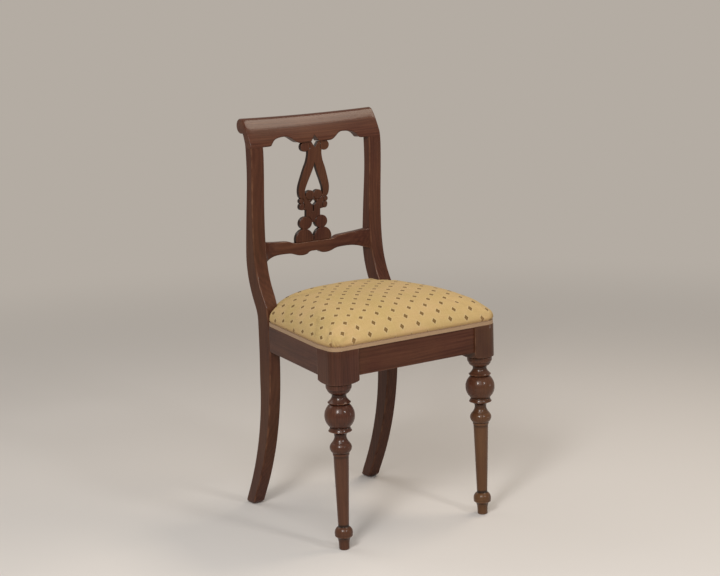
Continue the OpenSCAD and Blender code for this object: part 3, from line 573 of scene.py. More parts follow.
def lacquered_walnut(name, turn=GRAIN_TURNS[Z], board=1, turned=False, gold=0.15, gloss=0.85,
                     deep=0.0):
    """Stained wood under satin lacquer, rubbed up to its gloss. Worn edges are paler, hollows
    are darkened with painted shade, and the stain is golden in patches. On a turned leg it is
    golden low down and deep over the cup."""
    finish = bpy.context.scene.chair_finish
    tones = (tuple(finish.wood_dark), tuple(finish.wood_mid), tuple(finish.wood_light))
    recipe, colour, pore, fibres = wood_recipe(name, tones, turn, board, WALNUT_RINGS, 0.55)
    relief = recipe.attribute("relief")
    # Painted shade where the relief is below 0
    hollow_shade = (relief * -1.8).clamped()
    patches = recipe.noise(recipe.stretched(recipe.place(shift=(board, 0, 0)), 11, 11, 6))
    amber = ((patches - 0.5) * 3 + 0.5).clamped() * gold
    rubbed = recipe.noise(recipe.place(shift=(0, board, 0)), 40, 2)
    worn = (relief * 1.4 - 0.25).clamped() * ((rubbed - 0.38) * 4).clamped()
    height = fibres * 0.5 - pore * 0.6
    if turned:
        _, _, z = recipe.parts(recipe.place())
        amber = amber + ((SEAT_H * 0.6 - z) * 12).clamped() * gold
        colour = recipe.mixed(((z - SEAT_H * 0.8) * 40).clamped() * deep, colour, tones[0])
        height = height + (z * (math.tau / TOOL_MARKS)).sine() * 0.12
    colour = recipe.mixed(amber, colour, AMBER)
    colour = recipe.mixed(pore * 0.4, colour, tones[0])
    colour = recipe.mixed(worn * 0.30, colour, WORN_WALNUT)
    # Painted shade in the hollows
    colour = recipe.mixed(hollow_shade * 0.88, colour, PAINTED_SHADE_IN_HOLLOWS)
    return recipe.set(
        Base_Color=colour, Roughness=0.42 + (fibres - 0.5) * 0.22 + pore * 0.15 - worn * 0.08,
        Normal=recipe.bump(height, 0.04 * MM, 0.5),
        Coat_Weight=finish.lacquer * gloss, Coat_Roughness=0.14,
        Specular_IOR_Level=0.06 + 0.05 * gloss, Specular_Tint=LACQUER_TINT)


def bare_beech(name, grain):
    """Pale wood without a finish, for the blocks and dowels inside the frame."""
    recipe, colour, pore, fibres = wood_recipe(
        name, BEECH_TONES, GRAIN_TURNS[grain], 3, BEECH_RINGS, 0.8)
    colour = recipe.mixed(pore * 0.6, colour, BEECH_PORE)
    return recipe.set(Base_Color=colour, Roughness=0.72 + (fibres - 0.5) * 0.2,
                      Normal=recipe.bump(fibres - pore, 0.08 * MM, 0.6))


def plywood(name):
    """Birch plywood: face veneer with grain along X, and dark glue lines between its plies."""
    recipe, colour, pore, fibres = wood_recipe(
        name, BIRCH_TONES, GRAIN_TURNS[X], 5, BIRCH_RINGS, 0.7)
    _, _, z = recipe.parts(recipe.place())
    ply = (z - SEAT_H) / PLY_T
    seam = abs(ply - (ply + 0.5).floor()) < 0.12
    colour = recipe.mixed(pore * 0.4, colour, BIRCH_PORE)
    colour = recipe.mixed(seam * 0.55, colour, GLUE_LINE)
    return recipe.set(Base_Color=colour, Roughness=0.7 + (fibres - 0.5) * 0.2,
                      Normal=recipe.bump(fibres, 0.06 * MM, 0.5))


def zinc(name):
    """Bright zinc plate with a faint crystal pattern and a little white bloom."""
    recipe = Recipe(name)
    point = recipe.place()
    crystals = recipe.add("ShaderNodeTexVoronoi", {}, {"Vector": point, "Scale": 1400.0}, "Distance")
    bloom = recipe.noise(point, 320, 3)
    return recipe.set(Base_Color=recipe.mixed(bloom, ZINC_DULL, ZINC_BRIGHT), Metallic=1.0,
                      Roughness=0.28 + crystals * 0.2 + (bloom - 0.5) * 0.2,
                      Normal=recipe.bump(bloom, 0.03 * MM, 0.4))


# The cloth's diamonds, and how far up the seat it is browner from hands
MOTIF_HALF_W = 5.1 * MM
MOTIF_HALF_L = 6.2 * MM
HANDLED_H = 24 * MM
HANDLED_FADE = 16 * MM
CLOTH_FADED = (0.66, 0.42, 0.25)
CLOTH_HALO = (0.70, 0.57, 0.36)
CLOTH_HEART = (0.32, 0.20, 0.07)
CLOTH_GAPS = (0.24, 0.14, 0.06)
CLOTH_HANDLED = (0.46, 0.255, 0.110)
CLOTH_CREASE_SHADE = (0.20, 0.11, 0.05)
DOT_PITCH = 3.6 * MM
BRAID_LIGHT = (0.46, 0.30, 0.16)
BRAID_DOTS = (0.110, 0.055, 0.026)
BRAID_CREASE_SHADE = (0.17, 0.09, 0.045)


def off_grid(value):
    """How far a value is from the nearest whole number, which lies below or above it."""
    return value - (value + 0.5).floor()


def straw_cloth(name):
    """Golden woven cloth with small diamonds in staggered rows. It reads the weave map, whose
    two coordinates are metres across and along the cloth, and the relief attribute. It is
    browner low down, where it is handled."""
    sizes, finish = bpy.context.scene.chair_seat, bpy.context.scene.chair_finish
    recipe = Recipe(name)
    u, v, _ = recipe.parts(recipe.add("ShaderNodeUVMap", {"uv_map": "weave"}, {}))
    thread = sizes.thread

    row = (v / sizes.motif_row + 0.5).floor()
    odd = row - (row * 0.5).floor() * 2
    du = off_grid(u / sizes.motif_across + odd * 0.5) * sizes.motif_across
    dv = v - row * sizes.motif_row
    du, dv = (((d / thread + 0.5).floor() * thread) for d in (du, dv))
    diamond = abs(du) / MOTIF_HALF_W + abs(dv) / MOTIF_HALF_L
    inside = ((1.12 - diamond) * 8).clamped()
    heart = ((0.42 - diamond) * 8).clamped()
    halo = ((1.75 - diamond) * 3).clamped()

    a, b = u / thread, v / thread
    over = (a.floor() + b.floor()) * 0.5
    over = (over - over.floor()) * 2
    warp = abs((a * math.pi).sine())
    weft = abs((b * math.pi).sine())
    knit = warp * over + weft * (1 - over)
    slub_u = recipe.noise(recipe.joined(u * 26, v * 1250, 0.0), detail=2)
    slub_v = recipe.noise(recipe.joined(u * 1250, v * 26, 0.7), detail=2)
    slub = slub_u * over + slub_v * (1 - over)
    patch = recipe.noise(recipe.joined(u * 16, v * 16, 0.3), detail=3)
    bars = recipe.noise(recipe.joined(u * 3, v * 210, 0.1), detail=2)

    straw = tuple(finish.straw)
    pale = tuple(min(1.0, c * 1.22 + 0.03) for c in straw)
    tan = tuple(c * k for c, k in zip(straw, (0.86, 0.74, 0.66)))
    colour = recipe.mixed((slub - 0.5) * 1.6 + 0.5, tan, pale)
    faded = ((patch - 0.5) * 2.4 + 0.35).clamped()
    _, _, z = recipe.parts(recipe.place())
    handled = ((SEAT_H + HANDLED_H - z) / HANDLED_FADE).clamped()
    # Painted shade in the corner folds
    crease_shade = (recipe.attribute("relief") * -1.0).clamped()
    for share, layer in ((faded * 0.35, CLOTH_FADED), ((bars - 0.38) * 0.8, straw),
                         (halo * 0.22, CLOTH_HALO), (inside * 0.9, tuple(finish.motif)),
                         (heart * 0.25, CLOTH_HEART), ((1 - knit) * 0.30, CLOTH_GAPS),
                         (handled * 0.45, CLOTH_HANDLED), (crease_shade * 0.6, CLOTH_CREASE_SHADE)):
        colour = recipe.mixed(share, colour, layer)
    height = knit * 0.7 + (slub - 0.5) * 0.6 + inside * 0.25
    return recipe.set(Base_Color=colour, Roughness=0.80 - (slub - 0.5) * 0.25,
                      Normal=recipe.bump(height, 0.16 * MM, 0.55),
                      Sheen_Weight=0.03, Sheen_Roughness=0.5, Specular_IOR_Level=0.15)


def braid_cloth(name):
    """Tan braid with a brown dotted cord above it. It reads the braid map: metres along the
    braid, and height over the rail from 0 to 1."""
    gimp = tuple(bpy.context.scene.chair_finish.gimp)
    recipe = Recipe(name)
    along, up, _ = recipe.parts(recipe.add("ShaderNodeUVMap", {"uv_map": "braid"}, {}))
    strand = recipe.noise(recipe.joined(along * 1100, up * 9, 0.2), detail=2)
    tone = recipe.noise(recipe.joined(along * 45, up * 2, 0.5), detail=2)
    dots = (abs(off_grid(along / DOT_PITCH)) < 0.25) * (up > 1.03)
    # Painted shade in the braid's grooves
    crease_shade = (recipe.attribute("relief") * -1.0).clamped()
    colour = recipe.mixed((strand - 0.5) * 1.5 + 0.5, tuple(c * 0.72 for c in gimp),
                          tuple(min(1.0, c * 1.28 + 0.02) for c in gimp))
    for share, layer in ((tone * 0.30, BRAID_LIGHT), (dots * 0.80, BRAID_DOTS),
                         (crease_shade * 0.50, BRAID_CREASE_SHADE)):
        colour = recipe.mixed(share, colour, layer)
    return recipe.set(Base_Color=colour, Roughness=0.78, Specular_IOR_Level=0.3,
                      Sheen_Weight=0.1, Normal=recipe.bump(strand, 0.1 * MM, 0.6))


# Front legs
TOE_H = 26 * MM
TOE_R = 11.4 * MM
TOE_TOP_R = 14.3 * MM
KNOB_H = 25 * MM
RING_H = 7 * MM
RING_R = 17.3 * MM
BEAD_H = 22 * MM
BEAD_END_R = 18.3 * MM
# Lower neck from the bead up to the flange: radius and height over the bead
LOWER_NECK = np.array([(17.7, 0.8), (14.4, 6.3), (12.8, 12.5), (14.4, 19.4), (20.2, 23.0),
                       (23.9, 24.6)]) * MM
LOWER_FLANGE_R = 25 * MM
FLANGE_TIP_H = 1.2 * MM
FLANGE_RISE = 8 * MM
BALL_LOW_R = 21 * MM
BALL_TOP_R = 19.2 * MM
UPPER_FLANGE_R = 24.8 * MM
# Upper neck from the flange up to the cup: radius and height over the flange's lip
UPPER_NECK = np.array([(24.0, 0.3), (20.8, 3.4), (17.4, 7.7), (15.7, 11.2), (15.3, 13.5),
                       (15.6, 15.6), (16.7, 17.8), (18.6, 19.4)]) * MM
NECK_UNDER_BALL = 3.1 * MM
CUP_H = 21.4 * MM
CUP_FOOT_R = 19.8 * MM
CUP_EDGE_R = 25.2 * MM
CUP_EDGE_H = 13 * MM
SHOULDER_H = 10 * MM
SHOULDER_POWER = 1.7
SHOULDER_ROWS = 11
BLOCK_OUT = 30 * MM
BLOCK_EASE = 1.2 * MM
RELIEF_REACH = 1.4 * MM
LEG_COLUMNS = 112
# Angles at which each eased corner of the block is cut, in degrees from its middle
CORNER_CUTS = (-2.2, -1.4, -0.7, 0, 0.7, 1.4, 2.2)
# The block's lower and upper arris in millimetres: how far in, how far up or down, and the wear
ARRIS_IN = 0.7 * MM
LOWER_ARRIS = ((0.28, 0.25, 0.8), (0.05, 0.75, 0.8), (0, 1.2, 0.3))
UPPER_ARRIS = ((0.3, 0.3, 0.5), (1, 0, 0.5))
BLOCK_ROWS = (0.1, 0.4, 0.8, 1.0)


def leg_profile(sizes, cup_z):
    """Outline of the turning from the sole up, as radius and height: straight lines, arcs,
    parabolic bulges and smooth curves in the order of the real leg, with its corners eased."""
    neck_z = cup_z - CUP_H - UPPER_NECK[-1, 1]
    rise = math.sqrt(sizes.ball_r**2 - BALL_TOP_R**2)
    fall = math.sqrt(sizes.ball_r**2 - BALL_LOW_R**2)
    ball_z = neck_z - NECK_UNDER_BALL - rise
    flange_z = ball_z - fall - FLANGE_RISE
    bead_z = flange_z - FLANGE_TIP_H - LOWER_NECK[-1, 1]
    ring_z = bead_z - BEAD_H
    shaft_z = ring_z - RING_H
    knob_z = TOE_H + KNOB_H
    top, low = (math.degrees(math.acos(r / sizes.ball_r)) for r in (BALL_TOP_R, BALL_LOW_R))
    cup_low = cup_z - CUP_H
    return chain([
        [(0.3 * MM, 0), (TOE_R - 2 * MM, 0)],
        spline([(TOE_R - 0.2 * MM, 2 * MM), (TOE_R, TOE_H * 0.4), (TOE_R * 1.04, TOE_H * 0.66),
                (TOE_R * 1.12, TOE_H * 0.84), (TOE_TOP_R, TOE_H)], 4),
        [(sizes.knob_r, TOE_H + KNOB_H * 0.16), (sizes.knob_r, TOE_H + KNOB_H * 0.28)],
        bulge((sizes.knob_r, TOE_H + KNOB_H * 0.28), (sizes.shaft_low_r, knob_z), KNOB_H / 8),
        bulge((sizes.shaft_low_r, knob_z), (sizes.shaft_top_r, shaft_z), 0, 24),
        bulge((RING_R - 0.6 * MM, shaft_z), (RING_R - 0.3 * MM, ring_z), 0.8 * MM, 8),
        bulge((BEAD_END_R, ring_z), (BEAD_END_R, bead_z), sizes.bead_r - BEAD_END_R, 22),
        spline(LOWER_NECK + (0, bead_z), 5),
        [(LOWER_FLANGE_R, flange_z - FLANGE_TIP_H * 0.6), (LOWER_FLANGE_R, flange_z)],
        bulge((LOWER_FLANGE_R, flange_z), (BALL_LOW_R + 0.4 * MM, ball_z - fall), -0.5 * MM, 6),
        arc((0, ball_z), sizes.ball_r, -low, top, 44),
        bulge((BALL_TOP_R + 2.6 * MM, ball_z + rise + 0.2 * MM), (UPPER_FLANGE_R, neck_z),
              0.3 * MM, 6),
        spline(UPPER_NECK + (0, neck_z), 5),
        bulge((CUP_FOOT_R, cup_low + 0.3 * MM), (CUP_EDGE_R, cup_z - CUP_EDGE_H), 0.9 * MM, 8),
        bulge((CUP_EDGE_R + 0.6 * MM, cup_z - CUP_EDGE_H + 0.3 * MM),
              (sizes.cup_r, cup_z - CUP_EDGE_H * 0.6), 0.4 * MM, 6),
        [(sizes.cup_r, cup_z - 2 * MM), (sizes.cup_r - 1 * MM, cup_z)],
    ], sizes.ease)


def block_radius(angle, reach_in, corner_r):
    """Distance from the leg's axis to the block's face along each angle, read off the outline:
    a square whose outer corner, at +X -Y, is round and whose other corners are eased."""
    e = BLOCK_EASE
    outline = np.concatenate([
        arc((BLOCK_OUT - corner_r, corner_r - BLOCK_OUT), corner_r, -90, 0, 60),
        arc((BLOCK_OUT - e, reach_in - e), e, 0, 90, 12),
        arc((e - reach_in, reach_in - e), e, 90, 180, 12),
        arc((e - reach_in, e - BLOCK_OUT), e, 180, 270, 12)])
    outline = np.concatenate([outline, outline[:1]])
    t = np.linspace(0, 1, 40, endpoint=False)[:, None]
    dense = (outline[:-1, None] * (1 - t) + outline[1:, None] * t).reshape(-1, 2)
    turn = np.arctan2(dense[:, 1], dense[:, 0])
    order = np.argsort(turn)
    return np.interp(angle, turn[order], np.linalg.norm(dense, axis=1)[order], period=math.tau)


def leg_surface(sizes):
    """One closed surface r(angle, height): the turned profile is the same at every angle, and
    over it the block's face is reached along a turned shoulder, whose height over the cup is a
    superellipse of the radius."""
    axis = np.array([high("front_leg_right", X) - sizes.ball_r,
                     low("front_leg_right", Y) + sizes.ball_r])
    cup_z = SEAT_H - sizes.block_h
    reach_in = axis[0] - low("front_leg_right", X)
    corners = np.array([(BLOCK_OUT, reach_in), (-reach_in, reach_in), (-reach_in, -BLOCK_OUT)])
    sharp = np.arctan2(corners[:, 1], corners[:, 0])[:, None] + np.radians(CORNER_CUTS)
    angle = np.unique(np.concatenate([
        np.linspace(-math.pi, math.pi, LEG_COLUMNS, endpoint=False), sharp.ravel()]))
    face = block_radius(angle, reach_in, sizes.corner_r)
    edge = np.abs(np.gradient(np.gradient(face, angle), angle)) / face
    widest = reach_in * math.sqrt(2) - sizes.cup_r

    def shoulder(r):
        """Height of the shoulder at a radius: a superellipse from the cup to the widest corner."""
        out = unit((r - sizes.cup_r) / widest)
        return cup_z + SHOULDER_H * (1 - (1 - out**SHOULDER_POWER)**(1 / SHOULDER_POWER))

    # Rows from the sole up, each a radius, a height and a relief
    profile = leg_profile(sizes, cup_z)
    # Relief below 0, in the turning's creases and at the shoulder's foot, is painted as shade
    rows = [(profile[:, :1], profile[:, 1:], bend(profile, RELIEF_REACH)[:, None])]
    for share in 1 - (1 - np.linspace(0.08, 1, SHOULDER_ROWS))**1.5:
        r = sizes.cup_r + (face - ARRIS_IN - sizes.cup_r) * share
        rows.append((r, shoulder(r) + 0.02 * MM, -0.2 if share < 0.2 else 0.0))
    foot, head = shoulder(face - ARRIS_IN), SEAT_H - 1 * MM
    rows += [(face - inset * MM, foot + rise * MM, wear) for inset, rise, wear in LOWER_ARRIS]
    rows += [(face, foot * (1 - share) + head * share, unit(edge / 14)) for share in BLOCK_ROWS]
    rows += [(face - inset * MM, SEAT_H - drop * MM, wear) for inset, drop, wear in UPPER_ARRIS]
    radius, height, relief = (np.concatenate(part) for part in zip(*(
        [np.atleast_2d(value) for value in np.broadcast_arrays(*row, angle)[:3]] for row in rows)))
    return np.stack([axis[0] + radius * np.cos(angle), axis[1] + radius * np.sin(angle),
                     height], 2), relief


# Back posts and crest
# Side outline of the back, as shares of the sweep and of the height over the seat rails
STILE_FRONT_SHARES = ((0.105, 0.099), (0.25, 0.139), (0.40, 0.195), (0.523, 0.269),
                      (0.588, 0.38), (0.581, 0.54), (0.523, 0.714), (0.50, 0.825),
                      (0.528, 0.877), (0.581, 0.902), (0.651, 0.928), (0.724, 0.9526),
                      (0.80, 0.9745))
STILE_REAR_SHARES = ((0.905, 0.927), (0.845, 0.90), (0.797, 0.855), (0.801, 0.709),
                     (0.915, 0.509), (0.993, 0.357), (1.002, 0.297), (0.978, 0.258),
                     (0.930, 0.209), (0.842, 0.161), (0.730, 0.112), (0.594, 0.068),
                     (0.541, 0.035))
FRONT_SPLAY = 101 * MM
FRONT_SPLAY_H = 380 * MM
REAR_SPLAY = 87 * MM
REAR_SPLAY_H = 300 * MM
FRONT_SPLAY_POWER = 2.3
REAR_SPLAY_POWER = 2
LEG_SPREAD = 1.5 * MM
LEG_SPREAD_H = 80 * MM
WIDENING_H = 64 * MM
SOLE_TURN = 80
POST_ROWS = 150
SCROLL_START = 135
SCROLL_END = -96
# Lower edge of the crest: shares of its half width, and of its height over the posts' joint
CREST_EDGE_SHARES = ((0, 0.25), (0.066, 0.009), (0.217, 0.009), (0.27, 0.045), (0.315, 0.125),
                     (0.36, 0.217), (0.41, 0.28), (0.46, 0.289), (0.53, 0.272), (0.59, 0.233),
                     (0.63, 0.17), (0.66, 0.081), (0.69, 0.005), (0.80, 0), (1, 0))
KITE_SHARE = CREST_EDGE_SHARES[1][0]
# Rounding of the lower edge between the posts and over them, and how far apart the two lie
EDGE_EASE = 1.6 * MM
JOINT_EASE = 0.15 * MM
EDGE_FADE = 6 * MM
WEAR_FADE = 14 * MM


def stile_curve(shares, sizes):
    """A side outline as Y and Z in the frame, from shares of the sweep and the back's height."""
    back_h = CREST_TOP - SEAT_H
    return spline(np.asarray(shares) * (sizes.back_sweep, back_h)) + (POST_FRONT, SEAT_H)


def post_front_y(z, sizes):
    """Front edge of the post: a power law under the seat, the stile's curve above it."""
    leg = POST_FRONT + FRONT_SPLAY * unit(1 - z / FRONT_SPLAY_H)**FRONT_SPLAY_POWER
    stile = stile_curve(STILE_FRONT_SHARES, sizes)
    above = np.interp(z, np.concatenate([[SEAT_H], stile[:, 1]]),
                      np.concatenate([[POST_FRONT], stile[:, 0]]))
    return np.where(z < SEAT_H, leg, above)


def post_rear_y(z, sizes):
    """Rear edge of the post: a square law under the seat, no further back than the foot, and
    the stile's curve above it."""
    back = POST_FRONT + sizes.post_depth
    leg = back + REAR_SPLAY * unit(1 - z / REAR_SPLAY_H)**REAR_SPLAY_POWER
    stile = stile_curve(STILE_REAR_SHARES, sizes)[::-1]
    above = np.interp(z, np.concatenate([[REAR_SPLAY_H], stile[:, 1]]),
                      np.concatenate([[back], stile[:, 0]]))
    return np.where(z < REAR_SPLAY_H, np.minimum(leg, FOOT_REAR), above)


def softened(values, passes):
    """Averages neighbours along the first axis, ends kept."""
    for _ in range(passes):
        values[1:-1] = (values[:-2] + 2 * values[1:-1] + values[2:]) / 4
    return values


def post_surface(sizes):
    """Rounded rectangles stacked in height between the front edge, the rear edge, the outer
    face, which spreads a little under the rail, and the inner face, which widens above the seat.
    The foot is drawn in to its sole by a quarter circle."""
    turn = np.radians(np.linspace(0, SOLE_TURN, 7))
    z = np.concatenate([sizes.foot_r * (1 - np.cos(turn)), np.linspace(
        sizes.foot_r * 1.1, CREST_TOP - sizes.crest_h, POST_ROWS)])
    inset = np.concatenate([sizes.foot_r * (1 - np.sin(turn)), np.zeros(POST_ROWS)])
    front = softened(post_front_y(z, sizes), 6) + inset
    rear = softened(post_rear_y(z, sizes), 6) - inset
    inner = np.interp(z, [SEAT_H, SEAT_H + WIDENING_H], [POST_INNER, STILE_INNER])
    outer = POST_OUTER + LEG_SPREAD * eased((RAIL_LOW - z) / LEG_SPREAD_H)
    inset = np.minimum(inset, (POST_OUTER - inner) * 0.4)
    ring, wear = rounded_ring(inner + inset, outer - inset, front, rear, sizes.arris_r)
    return stacked(ring, z, Z), wear


def crest_edge(share, sizes):
    """Height of the crest's lower edge at a share of its half width: two straight lines over
    the kite, and a smooth curve from there to the post."""
    curve = np.concatenate([CREST_EDGE_SHARES[:1], spline(CREST_EDGE_SHARES[1:])])
    rise = np.interp(np.abs(share), curve[:, 0], curve[:, 1])
    return CREST_TOP - sizes.crest_h + sizes.crest_h * rise


def crest_surface(sizes):
    """A section carried along X. The section runs up the face, round the scroll, down the rear
    and back under the lower edge, which rises and falls along X. It is dished back and dipped
    by 1 - s s, and drawn in along its normals near the two ends, in a quarter circle."""
    turn = np.radians(np.linspace(0, 90, 7))
    between = np.concatenate([np.linspace(0, KITE_SHARE, 7), np.linspace(KITE_SHARE, 0.81, 76)[1:],
                              [0.835, 0.88, 0.93]]) * POST_OUTER
    x = np.concatenate([between, POST_OUTER - sizes.arris_r * (1 - np.sin(turn))])
    draw = np.concatenate([np.zeros(between.size), sizes.arris_r * (1 - np.cos(turn))])
    x, draw = (np.concatenate([sign * v[:0:-1], v]) for sign, v in ((-1, x), (1, draw)))
    share = x / POST_OUTER
    base = crest_edge(share, sizes)[:, None]
    ease = np.interp(np.abs(x), [STILE_INNER - EDGE_FADE, STILE_INNER],
                     [EDGE_EASE, JOINT_EASE])[:, None]

    face = stile_curve(STILE_FRONT_SHARES, sizes)
    rear = stile_curve(STILE_REAR_SHARES, sizes)[::-1]
    front_at = lambda z: np.interp(z, face[:, 1], face[:, 0])
    rear_at = lambda z: np.interp(z, rear[:, 1], rear[:, 0])
    up = np.concatenate([[0, 0.02], np.linspace(0.07, 1, 25)])[None]
    face_z = (base + ease) * (1 - up) + face[-1, 1] * up
    rear_z = ((base + ease) * (1 - up) + rear[-1, 1] * up)[:, ::-1]
    scroll = arc((POST_FRONT + sizes.back_sweep, CREST_TOP - sizes.scroll_r), sizes.scroll_r,
                 SCROLL_START, SCROLL_END, 34)[None]
    quarter = np.radians(np.linspace(0, 90, 5))[None]
    low_front = np.stack([front_at(base + ease) + ease * (1 - np.sin(quarter[:, ::-1])),
                          base + ease * (1 - np.cos(quarter[:, ::-1]))], 2)
    low_rear = np.stack([rear_at(base + ease) - ease * (1 - np.cos(quarter)),
                         base + ease * (1 - np.sin(quarter))], 2)
    under = np.linspace(0, 1, 7)[None, 1:-1, None]
    parts = [low_front, np.stack([front_at(face_z), face_z], 2)[:, 1:],
             np.repeat(scroll, x.size, 0), np.stack([rear_at(rear_z), rear_z], 2)[:, :-1],
             low_rear, low_rear[:, -1:] * (1 - under) + low_front[:, :1] * under]
    ring = np.concatenate(parts, 1)

    # The two roundings are drawn in along Y alone, and the underside keeps its place
    front_part = slice(0, low_front.shape[1])
    rear_start = sum(part.shape[1] for part in parts[:4])
    rear_part = slice(rear_start, rear_start + low_rear.shape[1])
    inward = normalised(quarter_turned(np.roll(ring, -1, 1) - np.roll(ring, 1, 1)))
    inward[:, front_part] = (1, 0)
    inward[:, rear_part] = (-1, 0)
    inward[:, rear_part.stop:] = (0, 0)
    ring = ring + inward * draw[:, None, None]
    bow = (1 - share**2)[:, None]
    ring[..., 0] += sizes.crest_dish * bow
    joint_z = CREST_TOP - sizes.crest_h
    ring[..., 1] -= sizes.crest_dip * bow * np.maximum(0, (ring[..., 1] - joint_z) / sizes.crest_h)
    arched = np.interp(np.abs(x), [STILE_INNER - WEAR_FADE, STILE_INNER - EDGE_FADE],
                       [1, 0])[:, None]
    relief = np.zeros(ring.shape[:2])
    relief[:, front_part] = 0.6 * arched
    relief[:, rear_part] = 0.4 * arched
    relief = np.maximum(relief, (draw / sizes.arris_r * 0.6)[:, None])
    return stacked(ring[:, ::-1], x, X), relief[:, ::-1]


# Lower back rail
RAIL_RISE = 131.5 * MM
RAIL_END_H = 48.3 * MM
# Upper and lower edge of the rail: shares of its half width, and of its height at the posts
RAIL_TOP_SHARES = ((0, 0.67), (0.36, 0.67), (0.42, 0.73), (0.49, 0.79), (0.70, 0.84),
                   (0.86, 0.90), (1, 1))
RAIL_LOW_SHARES = ((0, 0.2), (0.056, 0.2), (0.10, 0.16), (0.14, 0.08), (0.22, 0.05),
                   (0.31, 0.08), (0.40, 0.17), (0.49, 0.215), (0.70, 0.22), (0.85, 0.15),
                   (1, 0))
RAIL_INSET = 2 * MM
RAIL_POWER = 7
RAIL_ARRIS_R = 2.4 * MM
RAIL_IN_POST = 0.6 * MM
RAIL_STATIONS = 121


def rail_face_y(share, sizes):
    """The rail's front face: straight in the middle, turned forward to the posts by a power."""
    middle = SEAT_H + RAIL_RISE + RAIL_END_H / 2
    end = post_front_y(np.array(middle), sizes) + RAIL_INSET
    return end + sizes.rail_dish * (1 - np.abs(share)**RAIL_POWER)


def lower_rail_surface(sizes):
    """Rounded rectangles carried along X between a wavy lower edge, a wavy upper edge and the
    two faces of the dished plan."""
    share = np.sin(np.linspace(-1, 1, RAIL_STATIONS) * np.pi / 2)
    top, under = (SEAT_H + RAIL_RISE + RAIL_END_H * np.interp(
        np.abs(share), *spline(table).T) for table in (RAIL_TOP_SHARES, RAIL_LOW_SHARES))
    face = rail_face_y(share, sizes)
    ring, wear = rounded_ring(face, face + sizes.rail_t, under, top, RAIL_ARRIS_R)
    return stacked(ring, share * (STILE_INNER + RAIL_IN_POST), X), wear


# Splat
SPLAT_HALF_W = 43 * MM
SPLAT_PROUD = 1 * MM
SPLAT_SETBACK = 3 * MM
# Share of the lean that the splat has reached at each share of its height
SPLAT_LEAN_SHARES = ((0, 0), (0.27, 0.116), (0.40, 0.28), (0.47, 0.38), (0.58, 0.52),
                     (0.76, 0.79), (0.9, 0.93), (1, 1))
# Right half of the body and of the opening: shares of the half width and of the height
SPLAT_BODY_SHARES = ((0.43, 0.19), (0.43, 0.318), (0.70, 0.325), (0.80, 0.44), (0.90, 0.463),
                     (0.95, 0.51), (0.93, 0.564), (0.805, 0.647), (0.64, 0.739), (0.51, 0.798),
                     (0.45, 0.84), (0.415, 0.90), (0.45, 1.1))
BODY_CORNERS = 3
SPLAT_OPENING_SHARES = ((0.55, 0.46), (0.56, 0.52), (0.41, 0.60), (0.22, 0.68), (0.08, 0.745),
                        (0, 0.795))
# Middle across, middle up, reach across and reach up of each round lobe
SPLAT_LOBE_SHARES = ((0.60, 0.957, 0.28, 0.0495), (0.76, 0.415, 0.13, 0.0262),
                     (0.72, 0.358, 0.16, 0.036), (0.485, 0.188, 0.39, 0.0655),
                     (0.58, 0.03, 0.545, 0.1015))
SPLAT_BUMP_SHARES = (0.245, 0.467, 0.265, 0.0497)
SPLAT_FOOT_SHARES = (0.19, 0.052)
SPLAT_CARVED = 0.8 * MM
CARVED_HALF_W = 0.45 * MM
DIAMOND_HALF_W = 11.5 * MM
DIAMOND_HALF_H = 10.5 * MM
LOWER_DIAMOND_SHARE = 0.391
LOWER_DIAMOND_SIZE = 0.77
KITE_SIZE = 1.05
KITE_TAIL = 1.65
SLIT_SHARE = 0.12
SLIT_H_SHARE = 0.055
# The splat is cut out on a grid. Rows of points follow its edge at shares of the edge's radius,
# and the carved lines at some millimetres to each side.
SPLAT_GRID = 0.62 * MM
SPLAT_GRID_HALF_W = 56 * MM
SPLAT_GRID_PLACE = np.array([0.013, 0.1]) * MM
SPLAT_COARSE = 5
EDGE_ROWS = np.array([0, 0.134, 0.5, 1, 1.4])
CARVED_ROWS = np.array([-0.8, -0.35, 0, 0.35, 0.8]) * MM
SAWN_ROWS = (0.1, 0.5, 0.9)


def inside_polygon(points, x, z):
    """Signed distance to a polygon, positive inside: the distance to the nearest side, with
    its sign from how many sides a ray to +X crosses."""
    a = np.asarray(points)[:, :, None]
    b = np.roll(a, -1, 0)
    p = np.stack([x.ravel(), z.ravel()])[None]
    side = b - a
    square = np.maximum((side**2).sum(1, keepdims=True), 1e-15)
    t = np.clip(((p - a) * side).sum(1, keepdims=True) / square, 0, 1)
    distance = np.sqrt((((p - a) - side * t)**2).sum(1)).min(0)
    spans = (a[:, 1] > p[:, 1]) != (b[:, 1] > p[:, 1])
    rise = np.where(side[:, 1] == 0, 1, side[:, 1])
    crosses = spans & (p[:, 0] < a[:, 0] + side[:, 0] * (p[:, 1] - a[:, 1]) / rise)
    return (np.where(crosses.sum(0) % 2 == 1, distance, -distance)).reshape(x.shape)


